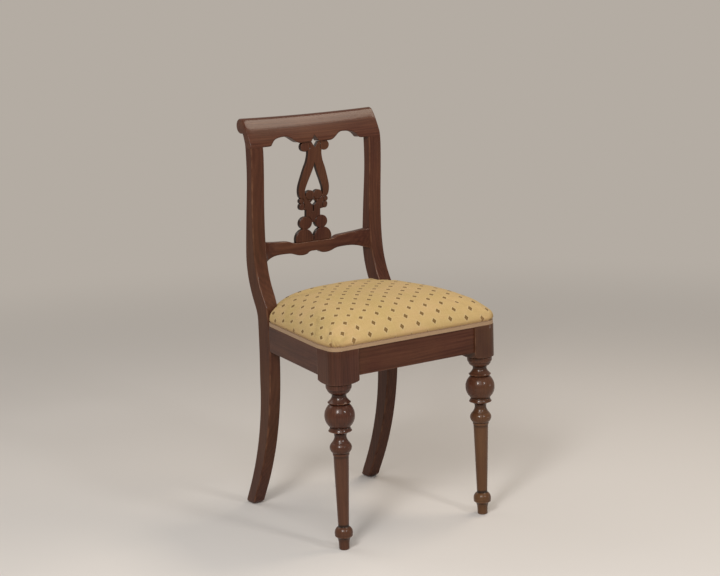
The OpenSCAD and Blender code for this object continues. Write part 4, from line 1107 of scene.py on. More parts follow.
def splat_fields(x, z, base, height, crest_notch):
    """Signed distance to the splat's outline at points x, z, positive in the wood, and that of
    each pair of lobes. The outline is the union of a body, its lobes and a foot, less the
    opening, a pierced diamond with its slit and the kite under the crest."""
    side = np.abs(x)

    def lobe(shares):
        """Distance into a pair of oval lobes: 1 less the stretched radius, times its reach."""
        across, up, reach, reach_up = np.multiply(shares, (SPLAT_HALF_W, height) * 2)
        return (1 - np.hypot((side - across) / reach, (z - base - up) / reach_up)) * reach

    def polygon(*curves):
        """Distance into an outline whose right half is given as shares."""
        half = np.concatenate(curves) * (SPLAT_HALF_W, height) + (0, base)
        return inside_polygon(np.concatenate([half, (half * (-1, 1))[::-1]]), x, z)

    body = polygon(SPLAT_BODY_SHARES[:BODY_CORNERS], spline(SPLAT_BODY_SHARES[BODY_CORNERS:], 5))
    lobes = [lobe(shares) for shares in SPLAT_LOBE_SHARES]
    foot = np.minimum(SPLAT_HALF_W * SPLAT_FOOT_SHARES[0] - side,
                      base + height * SPLAT_FOOT_SHARES[1] - z)
    bump = lobe(SPLAT_BUMP_SHARES)
    opening = np.minimum(polygon(spline(SPLAT_OPENING_SHARES, 5)), -bump)
    wood = np.maximum.reduce([body, foot, *lobes])
    wood = np.minimum.reduce([wood, z - base, base + height - z, -opening])
    diamond_z = base + height * LOWER_DIAMOND_SHARE
    for middle, size, tail in ((diamond_z, LOWER_DIAMOND_SIZE, 1),
                               (crest_notch - DIAMOND_HALF_H, KITE_SIZE, KITE_TAIL)):
        w, h = DIAMOND_HALF_W * size, np.where(z < middle, tail, 1) * DIAMOND_HALF_H * size
        hole = (1 - side / w - np.abs(z - middle) / h) * w * h / np.hypot(w, h)
        wood = np.minimum(wood, -hole)
    end = diamond_z - DIAMOND_HALF_H * LOWER_DIAMOND_SIZE - height * SLIT_H_SHARE
    slit = np.minimum.reduce([DIAMOND_HALF_W * SLIT_SHARE - side, diamond_z - z, z - end])
    return np.minimum(wood, -slit), lobes + [bump]


def contour(field, xs, zs, level):
    """Where a field on a grid passes a level: the points at which it crosses the grid's lines,
    found by proportion, and the pairs of points that share a cell."""
    value = field - level
    step = (xs[1] - xs[0], zs[1] - zs[0])
    ids, points, count = [], [], 0
    for axis in (0, 1):
        a, b = (value[:-1], value[1:]) if axis == 0 else (value[:, :-1], value[:, 1:])
        crossed = (a > 0) != (b > 0)
        share = np.clip((a / np.where(crossed, a - b, 1))[crossed], 0.02, 0.98)
        i, j = np.nonzero(crossed)
        place = np.stack([xs[i], zs[j]], 1)
        place[:, axis] += share * step[axis]
        index = np.full(crossed.shape, -1)
        index[crossed] = count + np.arange(i.size)
        count += i.size
        ids.append(index)
        points.append(place)
    along_x, along_z = ids
    cell = np.stack([along_x[:, :-1], along_x[:, 1:], along_z[:-1], along_z[1:]], 2).reshape(-1, 4)
    cell = np.sort(cell[(cell >= 0).sum(1) == 2], 1)
    return np.concatenate(points), cell[:, 2:]


def splat_surface(sizes):
    """Two faces and the sawn edge between them. The outline and its offsets are contours of
    the signed distance, triangulated in the plane; the faces lean with height, curl back by a
    quarter circle within the edge's radius, and have a carved line round each lobe."""
    base = SEAT_H + RAIL_RISE + RAIL_END_H * RAIL_TOP_SHARES[0][1]
    top = crest_edge(KITE_SHARE, sizes)
    height = top - base
    notch = crest_edge(0.0, sizes)
    radius = sizes.splat_edge_r
    field_at = lambda places: splat_fields(places[:, 0], places[:, 1], base, height, notch)
    xs = np.arange(-SPLAT_GRID_HALF_W, SPLAT_GRID_HALF_W, SPLAT_GRID) + SPLAT_GRID_PLACE[0]
    zs = np.arange(base - 2 * MM, top + 2 * MM, SPLAT_GRID) + SPLAT_GRID_PLACE[1]
    grid = np.stack(np.meshgrid(xs, zs, indexing="ij"), 2)
    wood, lobes = splat_fields(grid[..., 0], grid[..., 1], base, height, notch)
    points, pairs, count = [], [], 0
    for level in radius * EDGE_ROWS:
        place, joined = contour(wood, xs, zs, level)
        points.append(place)
        pairs.append(joined + count)
        count += len(place)
    for lobe in lobes:
        for offset in CARVED_ROWS:
            place, _ = contour(lobe, xs, zs, offset)
            points.append(place[field_at(place)[0] > radius * 1.8])
    coarse = (slice(None, None, SPLAT_COARSE),) * 2
    points.append(grid[coarse][wood[coarse] > radius * 2.2])
    found = geometry.delaunay_2d_cdt([Vector(p) for p in np.concatenate(points).tolist()],
                                     np.concatenate(pairs).tolist(), [], 0, 1e-7, False)
    flat = np.array([tuple(v) for v in found[0]])
    faces = np.array(found[2])
    faces = faces[field_at(flat[faces].mean(1))[0] > 0]
    used, faces = np.unique(faces, return_inverse=True)
    faces = faces.reshape(-1, 3)
    flat = flat[used]

    depth_in, lobes = field_at(flat)
    curl = radius - np.sqrt(np.maximum(radius**2 - (radius - np.clip(depth_in, 0, radius))**2, 0))
    groove = np.max([np.exp(-(lobe / CARVED_HALF_W)**2) for lobe in lobes], 0)
    groove = groove * unit((depth_in - radius) / radius)
    low_y = rail_face_y(0.0, sizes) + SPLAT_PROUD
    top_y = post_front_y(np.array(top), sizes) + sizes.crest_dish + SPLAT_SETBACK
    lean = np.interp((flat[:, 1] - base) / height, *spline(SPLAT_LEAN_SHARES).T)
    face_y = low_y + (top_y - low_y) * lean
    front = np.stack([flat[:, 0], face_y + curl + groove * SPLAT_CARVED, flat[:, 1]], 1)
    back = np.stack([flat[:, 0], face_y + sizes.splat_t - curl, flat[:, 1]], 1)

    # The sawn edge stands on the sides that only one face has
    edges = np.concatenate([faces[:, [0, 1]], faces[:, [1, 2]], faces[:, [2, 0]]])
    key = np.sort(edges, 1) @ np.array([len(flat), 1])
    _, first, times = np.unique(key, return_index=True, return_counts=True)
    border, ends = np.unique(edges[first[times == 1]], return_inverse=True)
    ends = ends.reshape(-1, 2)
    n, m = len(flat), len(border)
    sawn = [front[border] * (1 - share) + back[border] * share for share in SAWN_ROWS]
    rows = [border, *(2 * n + k * m + np.arange(m) for k in range(len(sawn))), border + n]
    wall = [np.stack([a[ends[:, 1]], a[ends[:, 0]], b[ends[:, 0]], b[ends[:, 1]]], 1)
            for a, b in zip(rows, rows[1:])]
    # The carved lines and the sawn edge get relief below 0, so the material paints shade on them
    wear = unit(1 - np.abs(depth_in - radius * 0.35) / radius) * 0.5 - groove
    relief = np.concatenate([wear, np.maximum(wear, 0) * 0.6, np.full(len(sawn) * m, -0.62)])
    faces = faces.tolist() + (faces[:, ::-1] + n).tolist() + np.concatenate(wall).tolist()
    return np.concatenate([front, back, *sawn]), faces, relief


# Seat rails
RAIL_EASE = 1.3 * MM
SEAT_RAIL_RINGS = 9


def straight_rail(node):
    """A rail square to the chair: one rounded rectangle carried along X between the blocks."""
    start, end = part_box(node)
    stations = np.linspace(start[X], end[X], SEAT_RAIL_RINGS)
    low_y = np.full(SEAT_RAIL_RINGS, start[Y])
    ring, wear = rounded_ring(low_y, end[Y], start[Z], end[Z], RAIL_EASE)
    return stacked(ring, stations, X), wear


def side_x(y):
    """Outer face of the side rails, which taper in to the posts."""
    return SIDE_FRONT_X - SIDE_TAPER * (y - SIDE_FRONT_Y)


def side_rail():
    """The right side rail: rounded rectangles carried along Y between its slanted faces."""
    stations = np.linspace(SIDE_FRONT_Y, POST_FRONT, SEAT_RAIL_RINGS)
    outer = side_x(stations)
    thick = RAIL_T * math.hypot(1, SIDE_TAPER)
    ring, wear = rounded_ring(RAIL_LOW, SEAT_H, outer - thick, outer, RAIL_EASE)
    return stacked(ring, stations, Y), wear


# Seat
POST_GAP = 1 * MM
SEAT_CORNER_R = 24 * MM
GIMP_H = 8 * MM
GIMP_T = 1.25 * MM
BOARD_T = 12 * MM
CROWN_SIDE_POWER = 4.2
CROWN_FRONT_POWER = 2.0
CROWN_REAR_POWER = 7.5
CROWN_SHAPE = 0.41
CROWN_EDGE_POWER = 10
CROWN_MARGIN = 1 * MM
START_INSET = 0.6 * MM
START_SPACING = 6 * MM
START_RINGS = 16
START_ROUND = 0.5
OVAL_SHARE = 0.92
# The cloth is held up to one height over the rails, and is free above it over a fade. Its
# swelling starts at a share of the seat's edge.
HELD_H = 5 * MM
HELD_FADE = 12 * MM
SWELL_SHARE = 0.4
SWELL_FADE = 14 * MM
# The wall leans out over the gimp, from one height over the rails and near the outline
WALL_PUSH = 3.8 * MM
WALL_LOW = 8.5 * MM
WALL_RISE = 7 * MM
WALL_IN = 2 * MM
WALL_FADE = 16 * MM
RIM_H = 2.5 * MM
RIM_IN = 3.4 * MM
FREE_GAP = 0.3 * MM
RIM_LIFT = 0.05 * MM
# Folds at each front corner: place along the outline from the corner's middle, lean, depth
FOLDS = ((-13, 0.55, 1.5), (-6, 0.45, 1.9), (2, 0.35, 1.6), (11, -0.3, 1.3))
FOLD_H = 30 * MM
FOLD_IN = 26 * MM
FOLD_HALF_W = 1.9 * MM
FOLD_DEEPEST = 1.6 * MM
FOLD_DOWN = 0.35
# Dents of the stuffing: depth in millimetres, waves and shifts along X and Y
DENTS = ((0.5, 21, 17, 0.4, 1.1), (0.35, 47, 39, 2.0, 0.3), (0.22, 88, 95, 1.2, 2.2))
DENT_FADE = 20 * MM
# Grid on which the top's height is kept for the weave
TOP_CELL = 4 * MM
TOP_HALF_COLUMNS = 56
TOP_HALF_ROWS = 47
TOP_LOW = 15 * MM
TOP_LEVEL = 24 * MM
WEAVE_RIM = 16 * MM
WEAVE_POWER = 1.35
WEAVE_SHIFT = 16.7 * MM
WEAVE_BOW = 9 * MM
BOW_HALF_W = 200 * MM
BOW_REACH = 170 * MM
BOW_POWER = 1.5
ARCH_START = -155 * MM
ARCH_FADE = 45 * MM
ARCH_HALF_W = 145 * MM
# Length over the cushion from its middle towards the rear, and the length of cloth that lies there
WEAVE_STRETCH = np.array([(-290, -270), (-202, -200), (-174, -177.8), (-107.5, -111), (-37, -44.4),
                          (9, 0), (50, 44.4), (91, 88.9), (260, 262)]) * MM


def seat_outline(inset, spacing):
    """Plan outline of the seat, anticlockwise from the middle of its front, drawn in by inset:
    round front corners, tapered sides, and notches round the back posts. Points are spaced
    evenly along it. Returns them, their places along it and its whole length."""
    front, rear = SEAT_FRONT + inset, POST_FRONT - POST_GAP - inset
    outer, tail = SEAT_HALF_W - inset, SEAT_REAR - inset
    r = SEAT_CORNER_R - inset
    side = side_x(rear) - 1 * MM - inset
    notch = POST_INNER - POST_GAP - inset
    right = np.concatenate([
        [(0, front)], arc((outer - r, front + r), r, -90, 0, 24),
        [(outer, SIDE_FRONT_Y), (side, rear)], [(notch, rear), (notch, tail), (0, tail)]])
    whole = np.concatenate([right, (right * (-1, 1))[-2::-1]])
    gap = np.linalg.norm(np.diff(whole, axis=0), axis=1)
    whole = whole[np.concatenate([[True], gap > 1e-9])]
    along = np.concatenate([[0], np.cumsum(np.linalg.norm(np.diff(whole, axis=0), axis=1))])
    stations = np.linspace(0, along[-1], int(along[-1] / spacing), endpoint=False)
    points = np.stack([np.interp(stations, along, whole[:, i]) for i in (0, 1)], 1)
    return points, stations, along[-1]


def crown_height(x, y, share, crown):
    """Height of the crown over the seat's edge: full in the middle, and falling to nothing at
    the sides, the front, the rear and the outline by high powers."""
    u = np.abs(x) / np.minimum(side_x(y), SEAT_HALF_W + CROWN_MARGIN)
    v = (y - SEAT_MIDDLE) / (SEAT_HALF_D + CROWN_MARGIN)
    power = np.where(v < 0, CROWN_FRONT_POWER, CROWN_REAR_POWER)
    inner = ((1 - unit(u)**CROWN_SIDE_POWER) * (1 - unit(np.abs(v))**power)
             * (1 - unit(share)**CROWN_EDGE_POWER))
    return crown * np.maximum(inner, 0)**CROWN_SHAPE


def cushion_start(crown, edge_h):
    """The stuffing before it swells: rings of the outline that shrink to the middle and grow
    rounder, on an upright edge, closed underneath."""
    outline, _, _ = seat_outline(GIMP_T + START_INSET, START_SPACING)
    middle = np.array([0, SEAT_MIDDLE])
    half = np.array([SEAT_HALF_W, SEAT_HALF_D]) * OVAL_SHARE
    away = outline - middle
    turn = np.arctan2(away[:, 1] / half[1], away[:, 0] / half[0])
    oval = half * np.stack([np.cos(turn), np.sin(turn)], 1)
    rings = [np.column_stack([outline, np.full(len(outline), SEAT_H + h)])
             for h in (0, edge_h * 0.5)]
    for k in np.cos(np.radians(np.linspace(0, 86, START_RINGS))):
        rounder = (1 - k) * START_ROUND
        q = middle + k * (away * (1 - rounder) + oval * rounder)
        z = SEAT_H + edge_h + crown_height(q[:, 0], q[:, 1], k, crown)
        rings.append(np.column_stack([q, z]))
    return np.stack(rings)


def swell_cloth(piece, sizes):
    """Blows the cushion up as cloth under pressure, with its lower edge held, and applies the
    result. Each point stays within the swell, and the move fades in over the upright edge."""
    rest = vertex_places(piece.data)
    held = piece.vertex_groups.new(name="held")
    weight = unit(1 - (rest[:, Z] - SEAT_H - HELD_H) / HELD_FADE)
    for level in np.linspace(0.1, 1, 10):
        held.add(np.nonzero(weight >= level - 0.05)[0].tolist(), float(level), "REPLACE")
    cloth = piece.modifiers.new("stuffing", "CLOTH")
    settings = cloth.settings
    settings.vertex_group_mass = "held"
    settings.effector_weights.gravity = 0
    settings.use_pressure = True
    settings.uniform_pressure_force = 4
    settings.quality = 5
    settings.mass = 0.3
    settings.tension_stiffness = 15
    settings.bending_stiffness = 1.5
    scene = bpy.context.scene
    for step in range(1, 21):
        scene.frame_set(step)
    graph = bpy.context.evaluated_depsgraph_get()
    move = vertex_places(piece.evaluated_get(graph).data) - rest
    piece.modifiers.remove(cloth)
    scene.frame_set(1)
    length = np.linalg.norm(move, axis=1, keepdims=True)
    limit = sizes.swell * np.tanh(length / sizes.swell)
    fade = eased((rest[:, Z:] - SEAT_H - sizes.edge_h * SWELL_SHARE) / SWELL_FADE)
    piece.data.vertices.foreach_set("co", (rest + normalised(move) * limit * fade).ravel())
    piece.data.update()


def nearest_on(outline, stations, total, points):
    """For each point in plan: the outward normal of the outline beside it, the distance to it
    and its place along the outline."""
    tangent = normalised(np.roll(outline, -1, 0) - np.roll(outline, 1, 0))
    near = np.concatenate([((block[:, None] - outline[None])**2).sum(2).argmin(1)
                           for block in np.array_split(points, 80)])
    offset = points - outline[near]
    place = stations[near] + (offset * tangent[near]).sum(1)
    along = np.stack([np.interp(place, stations, tangent[:, i], period=total) for i in (0, 1)], 1)
    return normalised(quarter_turned(along)), np.linalg.norm(offset, axis=1), place


def top_grid(points, gap):
    """Height of the cushion's top on a grid: the mean of the points in each cell, smoothed."""
    xs = np.arange(-TOP_HALF_COLUMNS, TOP_HALF_COLUMNS + 1) * TOP_CELL
    ys = SEAT_MIDDLE + np.arange(-TOP_HALF_ROWS, TOP_HALF_ROWS + 1) * TOP_CELL
    top = points[(gap > TOP_CELL) & (points[:, Z] > SEAT_H + TOP_LOW)]
    cell = (np.rint(top[:, X] / TOP_CELL).astype(int) + TOP_HALF_COLUMNS,
            np.rint((top[:, Y] - SEAT_MIDDLE) / TOP_CELL).astype(int) + TOP_HALF_ROWS)
    total, count = np.zeros((2, xs.size, ys.size))
    np.add.at(total, cell, top[:, Z])
    np.add.at(count, cell, 1)
    height = np.where(count > 0, total / np.maximum(count, 1), SEAT_H + TOP_LEVEL)
    return xs, ys, softened(softened(height, 2).T, 2).T


def lay_weave(mesh, points, normal, gap):
    """Writes the weave map. On top, the cloth's coordinates are the lengths over the crown
    along X and along Y from its middle. Within the rim they start from the point on the rim's
    inner line and go on along the outline's normal, by the way out and the way down together.
    Its rows bow down in the middle of the front, as 1 - x x, and behind that up in the middle of
    the crown, as a cosine. Along Y the cloth is stretched unevenly."""
    xs, ys, height = top_grid(points, gap)
    length_x, length_y = (
        np.cumsum(np.sqrt(1 + np.gradient(height, TOP_CELL, axis=axis)**2), axis) * TOP_CELL
        for axis in (0, 1))
    length_x -= length_x[[TOP_HALF_COLUMNS]]
    length_y -= length_y[:, [TOP_HALF_ROWS]]
    way_out = np.maximum(WEAVE_RIM - gap, 0)
    start = points[:, :2] - normal * way_out[:, None]
    i, j = (start[:, X] - xs[0]) / TOP_CELL, (start[:, Y] - ys[0]) / TOP_CELL
    i0 = np.clip(i.astype(int), 0, len(xs) - 2)
    j0 = np.clip(j.astype(int), 0, len(ys) - 2)
    fi, fj = unit(i - i0), unit(j - j0)
    read = lambda t: ((t[i0, j0] * (1 - fi) + t[i0 + 1, j0] * fi) * (1 - fj)
                      + (t[i0, j0 + 1] * (1 - fi) + t[i0 + 1, j0 + 1] * fi) * fj)
    way_down = np.where(way_out > 0, np.maximum(read(height) - points[:, Z], 0), 0)
    reach = (way_out**WEAVE_POWER + way_down**WEAVE_POWER)**(1 / WEAVE_POWER)
    u, v = (np.stack([read(length_x), read(length_y)], 1) + normal * reach[:, None]).T
    bow = WEAVE_BOW * np.maximum(0, 1 - (points[:, X] / BOW_HALF_W)**2)
    v = v - bow * np.clip(-v / BOW_REACH, 0, 1.3)**BOW_POWER
    arch = WEAVE_BOW * eased((v - ARCH_START) / ARCH_FADE)
    across = np.clip(np.abs(u) / ARCH_HALF_W, 0, 1.5)
    v = np.interp(v + arch * (1 - np.cos(np.pi * across)) / 2, *WEAVE_STRETCH.T)
    write_map(mesh, "weave", np.stack([u + WEAVE_SHIFT, v], 1))


def corner_folds(points, gap, place, total):
    """How deep the cloth's folds are at each point: narrow valleys that rise from the gimp at
    the front corners, lean with height and fade out on the crown."""
    up = (points[:, Z] - SEAT_H - GIMP_H) / FOLD_H
    fade = unit(1 - up)**1.3 * unit((points[:, Z] - SEAT_H) / GIMP_H) * unit(1 - gap / FOLD_IN)
    corner = (SEAT_HALF_W - GIMP_T - SEAT_CORNER_R) + (SEAT_CORNER_R - GIMP_T) * np.pi / 4
    depth = np.zeros(len(points))
    for middle, side in ((corner, 1), (total - corner, -1)):
        for offset, lean, deep in FOLDS:
            away = (place - middle) * side - offset * MM - lean * up * FOLD_H
            depth += deep * MM * np.exp(-(away / FOLD_HALF_W)**2)
    return depth * fade


def cushion_piece(sizes):
    """The seat: a domed start shape, remeshed, swollen as cloth and divided, then lifted off
    the seat board underneath, folded at its corners and laid out with its weave."""
    rings = cushion_start(sizes.crown_h - sizes.swell * 0.55, sizes.edge_h)
    piece = make_mesh("seat_cushion", rings, ring_faces(*rings.shape[:2]))
    remesh = piece.modifiers.new("grid", "REMESH")
    remesh.mode = "VOXEL"
    remesh.voxel_size = sizes.voxel
    apply_modifiers(piece)
    swell_cloth(piece, sizes)
    divide = piece.modifiers.new("divide", "SUBSURF")
    divide.levels = divide.render_levels = 1
    apply_modifiers(piece)
    mesh = piece.data
    points = vertex_places(mesh)
    outline, stations, total = seat_outline(GIMP_T, 1.5 * MM)
    normal, gap, place = nearest_on(outline, stations, total, points[:, :2])

    # Over the gimp the cloth fills the outline, and the board's space underneath stays free
    over = (eased((points[:, Z] - SEAT_H - WALL_LOW) / WALL_RISE)
            * unit(1 - (gap - WALL_IN) / WALL_FADE))
    points[:, :2] += normal * (over * WALL_PUSH)[:, None]
    low = points[:, Z] < SEAT_H + RIM_H
    under = low & (gap > RIM_IN)
    points[under, Z] = SEAT_H + BOARD_T + FREE_GAP
    rim = low & ~under
    points[rim, Z] = np.maximum(points[rim, Z], SEAT_H + RIM_LIFT)

    folds = corner_folds(points, gap, place, total)
    points -= np.column_stack([normal, np.full(len(normal), FOLD_DOWN)]) * folds[:, None]
    dents = sum(depth * np.sin(points[:, X] * a + p) * np.sin(points[:, Y] * b + q)
                for depth, a, b, p, q in DENTS)
    points[:, Z] += dents * MM * unit((points[:, Z] - SEAT_H - sizes.edge_h) / DENT_FADE)
    mesh.vertices.foreach_set("co", points.ravel())
    mesh.update()
    lay_weave(mesh, points, normal, gap)
    # The folds' relief is below 0, and the cloth's material paints shade in them
    write_relief(mesh, -unit(folds / FOLD_DEEPEST))
    mesh.shade_smooth()
    return piece


# Gimp
BRAID_SPACING = 0.8 * MM
BRAID_PITCH = 3.2 * MM
BRAID_ROWS = 17
DOT_ROWS = 7
DOT_SHARE = 0.22
CORD_SHARE = 0.86
CORD_HALF_W = 0.12
STRAND_RISE = 1 * MM
BRAID_BACK = 3.2 * MM


def gimp_piece():
    """The braid: a section carried along the seat's outline. Its outer face has two rows of
    slanted strands between thin edge cords, and a dotted cord runs along its top."""
    outline, stations, total = seat_outline(0.0, BRAID_SPACING)
    normal = normalised(quarter_turned(np.roll(outline, -1, 0) - np.roll(outline, 1, 0)))
    for _ in range(3):
        normal = normalised((np.roll(normal, 1, 0) + normal * 2 + np.roll(normal, -1, 0)) / 4)
    phase = (stations / total * round(stations[-1] / BRAID_PITCH))[:, None]
    up = np.concatenate([np.linspace(0, 1, BRAID_ROWS),
                         1 + np.linspace(0.02, DOT_SHARE, DOT_ROWS)])
    across = np.abs(up - 0.5) * 2
    slant = np.abs(np.sin(np.pi * (phase + across * 0.9)))**0.8
    cord = np.exp(-((across - CORD_SHARE) / CORD_HALF_W)**2)
    twist = np.abs(np.sin(np.pi * (phase * 1.5 + up * 3)))
    dot = np.sin(unit((up - 1) / DOT_SHARE) * np.pi) * (0.75 + 0.25 * twist)
    edge = np.sqrt(unit(1 - ((up - 0.5) / 0.52)**8))
    band = slant * 0.55 * (1 - cord) + cord * (0.45 + 0.3 * twist)
    rise = np.where(up <= 1, band * edge + edge * 0.5 - 0.5, dot * 0.9 - 0.3)
    # The braid's low parts get relief below 0 and its back -1, where the material paints shade
    relief = np.clip((rise - 0.45) * 1.2, -1, 0.2)

    plan = outline[:, None] + normal[:, None] * ((rise - 0.5) * STRAND_RISE)[..., None]
    height = np.broadcast_to(SEAT_H + RIM_LIFT + up * GIMP_H, rise.shape)
    face = np.concatenate([plan, height[..., None]], 2)
    inner = outline - normal * BRAID_BACK
    back = np.stack([np.column_stack([inner, height[:, k]]) for k in (-1, 0)], 1)
    section = np.concatenate([face, back], 1)
    relief = np.concatenate([relief, np.full((len(relief), 2), -1.0)], 1)
    rows, columns = section.shape[:2]
    i, j = np.meshgrid(np.arange(rows), np.arange(columns), indexing="ij")
    k, l = (i + 1) % rows, (j + 1) % columns
    faces = np.stack([i * columns + j, k * columns + j, k * columns + l, i * columns + l],
                     2).reshape(-1, 4)
    made = make_mesh("seat_gimp_braid", section, faces.tolist(), relief, 60)
    heights = np.concatenate([up, up[[-1, 0]]])
    write_map(made.data, "braid", np.stack([np.repeat(stations, columns),
                                            np.tile(heights, rows)], 1))
    return made


# Stage
def direction(azimuth, elevation):
    """The unit vector from the chair towards a place at an azimuth and an elevation."""
    level = math.cos(elevation)
    return Vector((math.sin(azimuth) * level, -math.cos(azimuth) * level, math.sin(elevation)))


def camera_turn(stage):
    """The camera's turn: its right, up and back directions, from its azimuth, elevation and
    roll."""
    back = direction(stage.azimuth, stage.elevation)
    level = Vector((math.cos(stage.azimuth), math.sin(stage.azimuth), 0))
    right = level * math.cos(stage.roll) + back.cross(level) * math.sin(stage.roll)
    return Matrix((right, back.cross(right), back)).transposed().to_4x4()


WHITE = (1.0, 1.0, 1.0)
CAMERA_PLACE = Vector((-2.1716, -3.2056, 1.2472))
# Softboxes: name, azimuth, elevation, distance, width, height, power in watts, colour
SOFTBOXES = (
    ("key_left", -50, 34, 2.7, 0.45, 0.75, 28, WHITE),
    ("key_front", 8, 28, 2.7, 0.32, 0.32, 12, WHITE),
    ("low_right", 49, 1, 2.6, 0.4, 0.4, 2, WHITE),
    ("broad_left", -42, 36, 2.8, 2.0, 1.6, 22, WHITE),
    ("high_right", 78, 58, 2.4, 1.15, 0.65, 20, (1.0, 0.88, 0.74)),
    ("behind_left", -155, 42, 3.0, 1.8, 1.4, 12, WHITE),
)
FLOOR_FADE = (1.2, 3.4)
FLOOR_REACH = (0.5, 80)
FLOOR_RINGS = 12
FLOOR_COLUMNS = 48
ROOM_LIGHT = (1.0, 0.97, 0.93)


def make_light(name, azimuth, elevation, distance, width, height, power, colour):
    """A softbox that looks at the middle of the chair."""
    back = direction(math.radians(azimuth), math.radians(elevation))
    data = bpy.data.lights.new(name, "AREA")
    data.shape = "RECTANGLE"
    data.size, data.size_y = width, height
    data.energy = power
    data.color = colour
    lamp = bpy.data.objects.new(name, data)
    bpy.context.scene.collection.objects.link(lamp)
    lamp.matrix_world = Matrix.Translation(Vector((0, 0, SEAT_H)) + back * distance) @ (
        (-back).to_track_quat("-Z", "Y").to_matrix().to_4x4())


def seen_directly(recipe):
    """1 for what the camera sees, in a mirror and through glass too, and 0 for plain light."""
    rays = [recipe.add("ShaderNodeLightPath", {}, {}, "Is " + kind + " Ray")
            for kind in ("Camera", "Glossy", "Transmission")]
    return (rays[0] + rays[1] + rays[2]).clamped()


def make_floor(stage):
    """A wide level disc: rings whose radius grows by a constant factor. Far from the chair it
    takes the colour of the backdrop, so that no horizon shows."""
    radius = np.geomspace(*FLOOR_REACH, FLOOR_RINGS)[::-1, None]
    angle = np.linspace(0, math.tau, FLOOR_COLUMNS, endpoint=False)
    points = np.stack([radius * np.cos(angle), radius * np.sin(angle),
                       np.zeros((FLOOR_RINGS, FLOOR_COLUMNS))], 2)
    faces = ring_faces(FLOOR_RINGS, FLOOR_COLUMNS)
    del faces[-2]
    floor = make_mesh("floor", points, faces)
    recipe = Recipe("pale_floor")
    x, y, _ = recipe.parts(recipe.place())
    away = (x * x + y * y)**0.5
    near, far = FLOOR_FADE
    fade = ((away - near) / (far - near)).clamped()
    fade = fade * fade * (3 - fade * 2) * seen_directly(recipe)
    recipe.set(Base_Color=tuple(stage.floor), Roughness=0.9, Specular_IOR_Level=0.1)
    glow = recipe.add("ShaderNodeEmission", {}, {"Color": tuple(stage.backdrop)})
    recipe.finish(recipe.add("ShaderNodeMixShader", {}, {
        0: fade, 1: Wire(recipe, recipe.shader.outputs[0]), 2: glow}))
    floor.data.materials.append(recipe.material)


def make_world(stage):
    """Even light from all round, with a pale backdrop for the camera and for reflections."""
    world = bpy.data.worlds.new("room")
    bpy.context.scene.world = world
    recipe = Recipe("room", world)
    light = recipe.add("ShaderNodeBackground", {}, {
        "Color": ROOM_LIGHT, "Strength": stage.daylight})
    scene = recipe.add("ShaderNodeBackground", {}, {"Color": tuple(stage.backdrop)})
    recipe.finish(recipe.add("ShaderNodeMixShader", {}, {
        0: seen_directly(recipe), 1: light, 2: scene}))


# Operators
class CHAIR_OT_front_legs(bpy.types.Operator):
    """Make the two turned front legs"""

    bl_idname = "chair.front_legs"
    bl_label = "Front Legs"

    def execute(self, context):
        points, relief = leg_surface(context.scene.chair_legs)
        ringed_piece("front_leg_right", points, relief, lacquered_walnut(
            "walnut_leg_right", board=1, turned=True, gloss=1.5, gold=0.42, deep=0.38))
        ringed_piece("front_leg_left", mirrored(points), relief[:, ::-1], lacquered_walnut(
            "walnut_leg_left", board=2, turned=True, gloss=1.5, gold=0.12, deep=0.12))
        return {"FINISHED"}


class CHAIR_OT_back_posts(bpy.types.Operator):
    """Make the two back posts, each a sabre leg and a stile in one piece"""

    bl_idname = "chair.back_posts"
    bl_label = "Back Posts"

    def execute(self, context):
        points, wear = post_surface(context.scene.chair_back)
        ringed_piece("back_post_right", points, wear,
                     lacquered_walnut("walnut_post_right", board=3))
        ringed_piece("back_post_left", mirrored(points), wear[::-1],
                     lacquered_walnut("walnut_post_left", board=4, gold=0.22))
        return {"FINISHED"}


class CHAIR_OT_crest_rail(bpy.types.Operator):
    """Make the crest rail with its scroll"""

    bl_idname = "chair.crest_rail"
    bl_label = "Crest Rail"

    def execute(self, context):
        points, relief = crest_surface(context.scene.chair_back)
        ringed_piece("crest_rail", points, relief,
                     lacquered_walnut("walnut_crest", GRAIN_TURNS[X], 5, gloss=1.1))
        return {"FINISHED"}


class CHAIR_OT_lower_back_rail(bpy.types.Operator):
    """Make the wavy rail under the splat"""

    bl_idname = "chair.lower_back_rail"
    bl_label = "Lower Back Rail"

    def execute(self, context):
        points, wear = lower_rail_surface(context.scene.chair_back)
        ringed_piece("lower_back_rail", points, wear,
                     lacquered_walnut("walnut_lower_rail", GRAIN_TURNS[X], 6))
        return {"FINISHED"}


class CHAIR_OT_back_splat(bpy.types.Operator):
    """Make the pierced and carved splat"""

    bl_idname = "chair.back_splat"
    bl_label = "Back Splat"

    def execute(self, context):
        points, faces, relief = splat_surface(context.scene.chair_back)
        made = make_mesh("back_splat_wood", points, faces, relief, 40)
        dress(made, lacquered_walnut("walnut_splat", board=7, gold=0.25), WALNUT, "back_splat")
        return {"FINISHED"}


class CHAIR_OT_seat_rails(bpy.types.Operator):
    """Make the four rails under the seat"""

    bl_idname = "chair.seat_rails"
    bl_label = "Seat Rails"

    def execute(self, context):
        for board, node in ((8, "front_seat_rail"), (9, "rear_seat_rail")):
            ringed_piece(node, *straight_rail(node),
                         lacquered_walnut("walnut_" + node, GRAIN_TURNS[X], board))
        points, wear = side_rail()
        taper = math.atan(SIDE_TAPER)
        ringed_piece("side_seat_rail_right", points, wear,
                     lacquered_walnut("walnut_side_rail_right", (math.pi / 2, taper, 0), 10))
        ringed_piece("side_seat_rail_left", mirrored(points), wear[::-1],
                     lacquered_walnut("walnut_side_rail_left", (math.pi / 2, -taper, 0), 11))
        return {"FINISHED"}


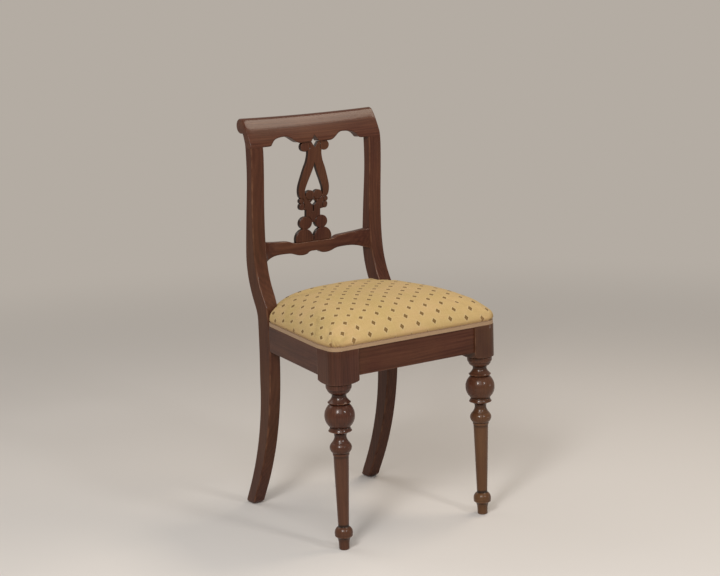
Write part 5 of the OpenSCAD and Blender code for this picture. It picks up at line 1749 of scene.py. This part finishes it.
class CHAIR_OT_joinery(bpy.types.Operator):
    """Finish the blocks, dowels, screws and board that the frame already holds"""

    bl_idname = "chair.joinery"
    bl_label = "Joinery"

    def execute(self, context):
        finishes = (
            (bare_beech("beech_x", X), (
                "front_corner_block_left", "front_corner_block_right", "rear_corner_block_left",
                "rear_corner_block_right", "front_rail_dowels", "rear_rail_dowels",
                "back_rail_dowels")),
            (bare_beech("beech_y", Y), ("side_rail_dowels",)),
            (bare_beech("beech_z", Z), ("crest_dowels", "splat_dowels")),
            (plywood("birch_plywood"), ("seat_board",)),
            (zinc("zinc_plate"), ("corner_block_screws", "seat_screws")),
        )
        for material, nodes in finishes:
            for node in nodes:
                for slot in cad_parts[node].material_slots:
                    slot.material = material
        return {"FINISHED"}


class CHAIR_OT_seat_cushion(bpy.types.Operator):
    """Make the stuffed seat in its woven cloth"""

    bl_idname = "chair.seat_cushion"
    bl_label = "Seat Cushion"

    def execute(self, context):
        made = cushion_piece(context.scene.chair_seat)
        dress(made, straw_cloth("straw_cloth"), "straw_fabric", "seat_cover", "seat_pad")
        return {"FINISHED"}


class CHAIR_OT_seat_gimp(bpy.types.Operator):
    """Make the braid along the seat's lower edge"""

    bl_idname = "chair.seat_gimp"
    bl_label = "Seat Gimp"

    def execute(self, context):
        dress(gimp_piece(), braid_cloth("gimp_braid"), "gimp_braid", "seat_gimp")
        return {"FINISHED"}


class CHAIR_OT_stage(bpy.types.Operator):
    """Set the floor, the lights, the room and the camera"""

    bl_idname = "chair.stage"
    bl_label = "Stage"

    def execute(self, context):
        stage = context.scene.chair_stage
        make_floor(stage)
        make_world(stage)
        for box in SOFTBOXES:
            make_light(*box)
        data = bpy.data.cameras.new("photo_camera")
        data.lens, data.sensor_width = stage.lens, 36.0
        data.clip_end = 100
        camera = bpy.data.objects.new("photo_camera", data)
        context.scene.collection.objects.link(camera)
        camera.matrix_world = Matrix.Translation(CAMERA_PLACE) @ camera_turn(stage)
        context.scene.camera = camera
        context.scene.view_settings.view_transform = "Standard"
        return {"FINISHED"}


OPERATORS = (CHAIR_OT_stage, CHAIR_OT_front_legs, CHAIR_OT_back_posts, CHAIR_OT_crest_rail,
             CHAIR_OT_lower_back_rail, CHAIR_OT_back_splat, CHAIR_OT_seat_rails,
             CHAIR_OT_joinery, CHAIR_OT_seat_cushion, CHAIR_OT_seat_gimp)


class CHAIR_PT_make(bpy.types.Panel):
    """Lists the chair's operators"""

    bl_idname = "CHAIR_PT_make"
    bl_label = "Chair"
    bl_space_type = "VIEW_3D"
    bl_region_type = "UI"
    bl_category = "Chair"

    def draw(self, context):
        for operator in OPERATORS:
            self.layout.operator(operator.bl_idname)


GROUPS = {"chair_legs": ChairLegSizes, "chair_back": ChairBackSizes,
          "chair_seat": ChairSeatSizes, "chair_finish": ChairFinish,
          "chair_stage": ChairStageSizes}
CLASSES = (*GROUPS.values(), *OPERATORS, CHAIR_PT_make)


def register():
    """Registers the classes and hangs each group of sizes on the scene."""
    for cls in CLASSES:
        bpy.utils.register_class(cls)
    for name, group in GROUPS.items():
        setattr(bpy.types.Scene, name, PointerProperty(type=group))


def unregister():
    """Takes away all that register added."""
    for name in GROUPS:
        delattr(bpy.types.Scene, name)
    for cls in reversed(CLASSES):
        bpy.utils.unregister_class(cls)


def main():
    """Makes every piece through its operator."""
    register()
    for operator in OPERATORS:
        getattr(bpy.ops.chair, operator.bl_idname.split(".")[1])()


if __name__ == "__main__":
    main()
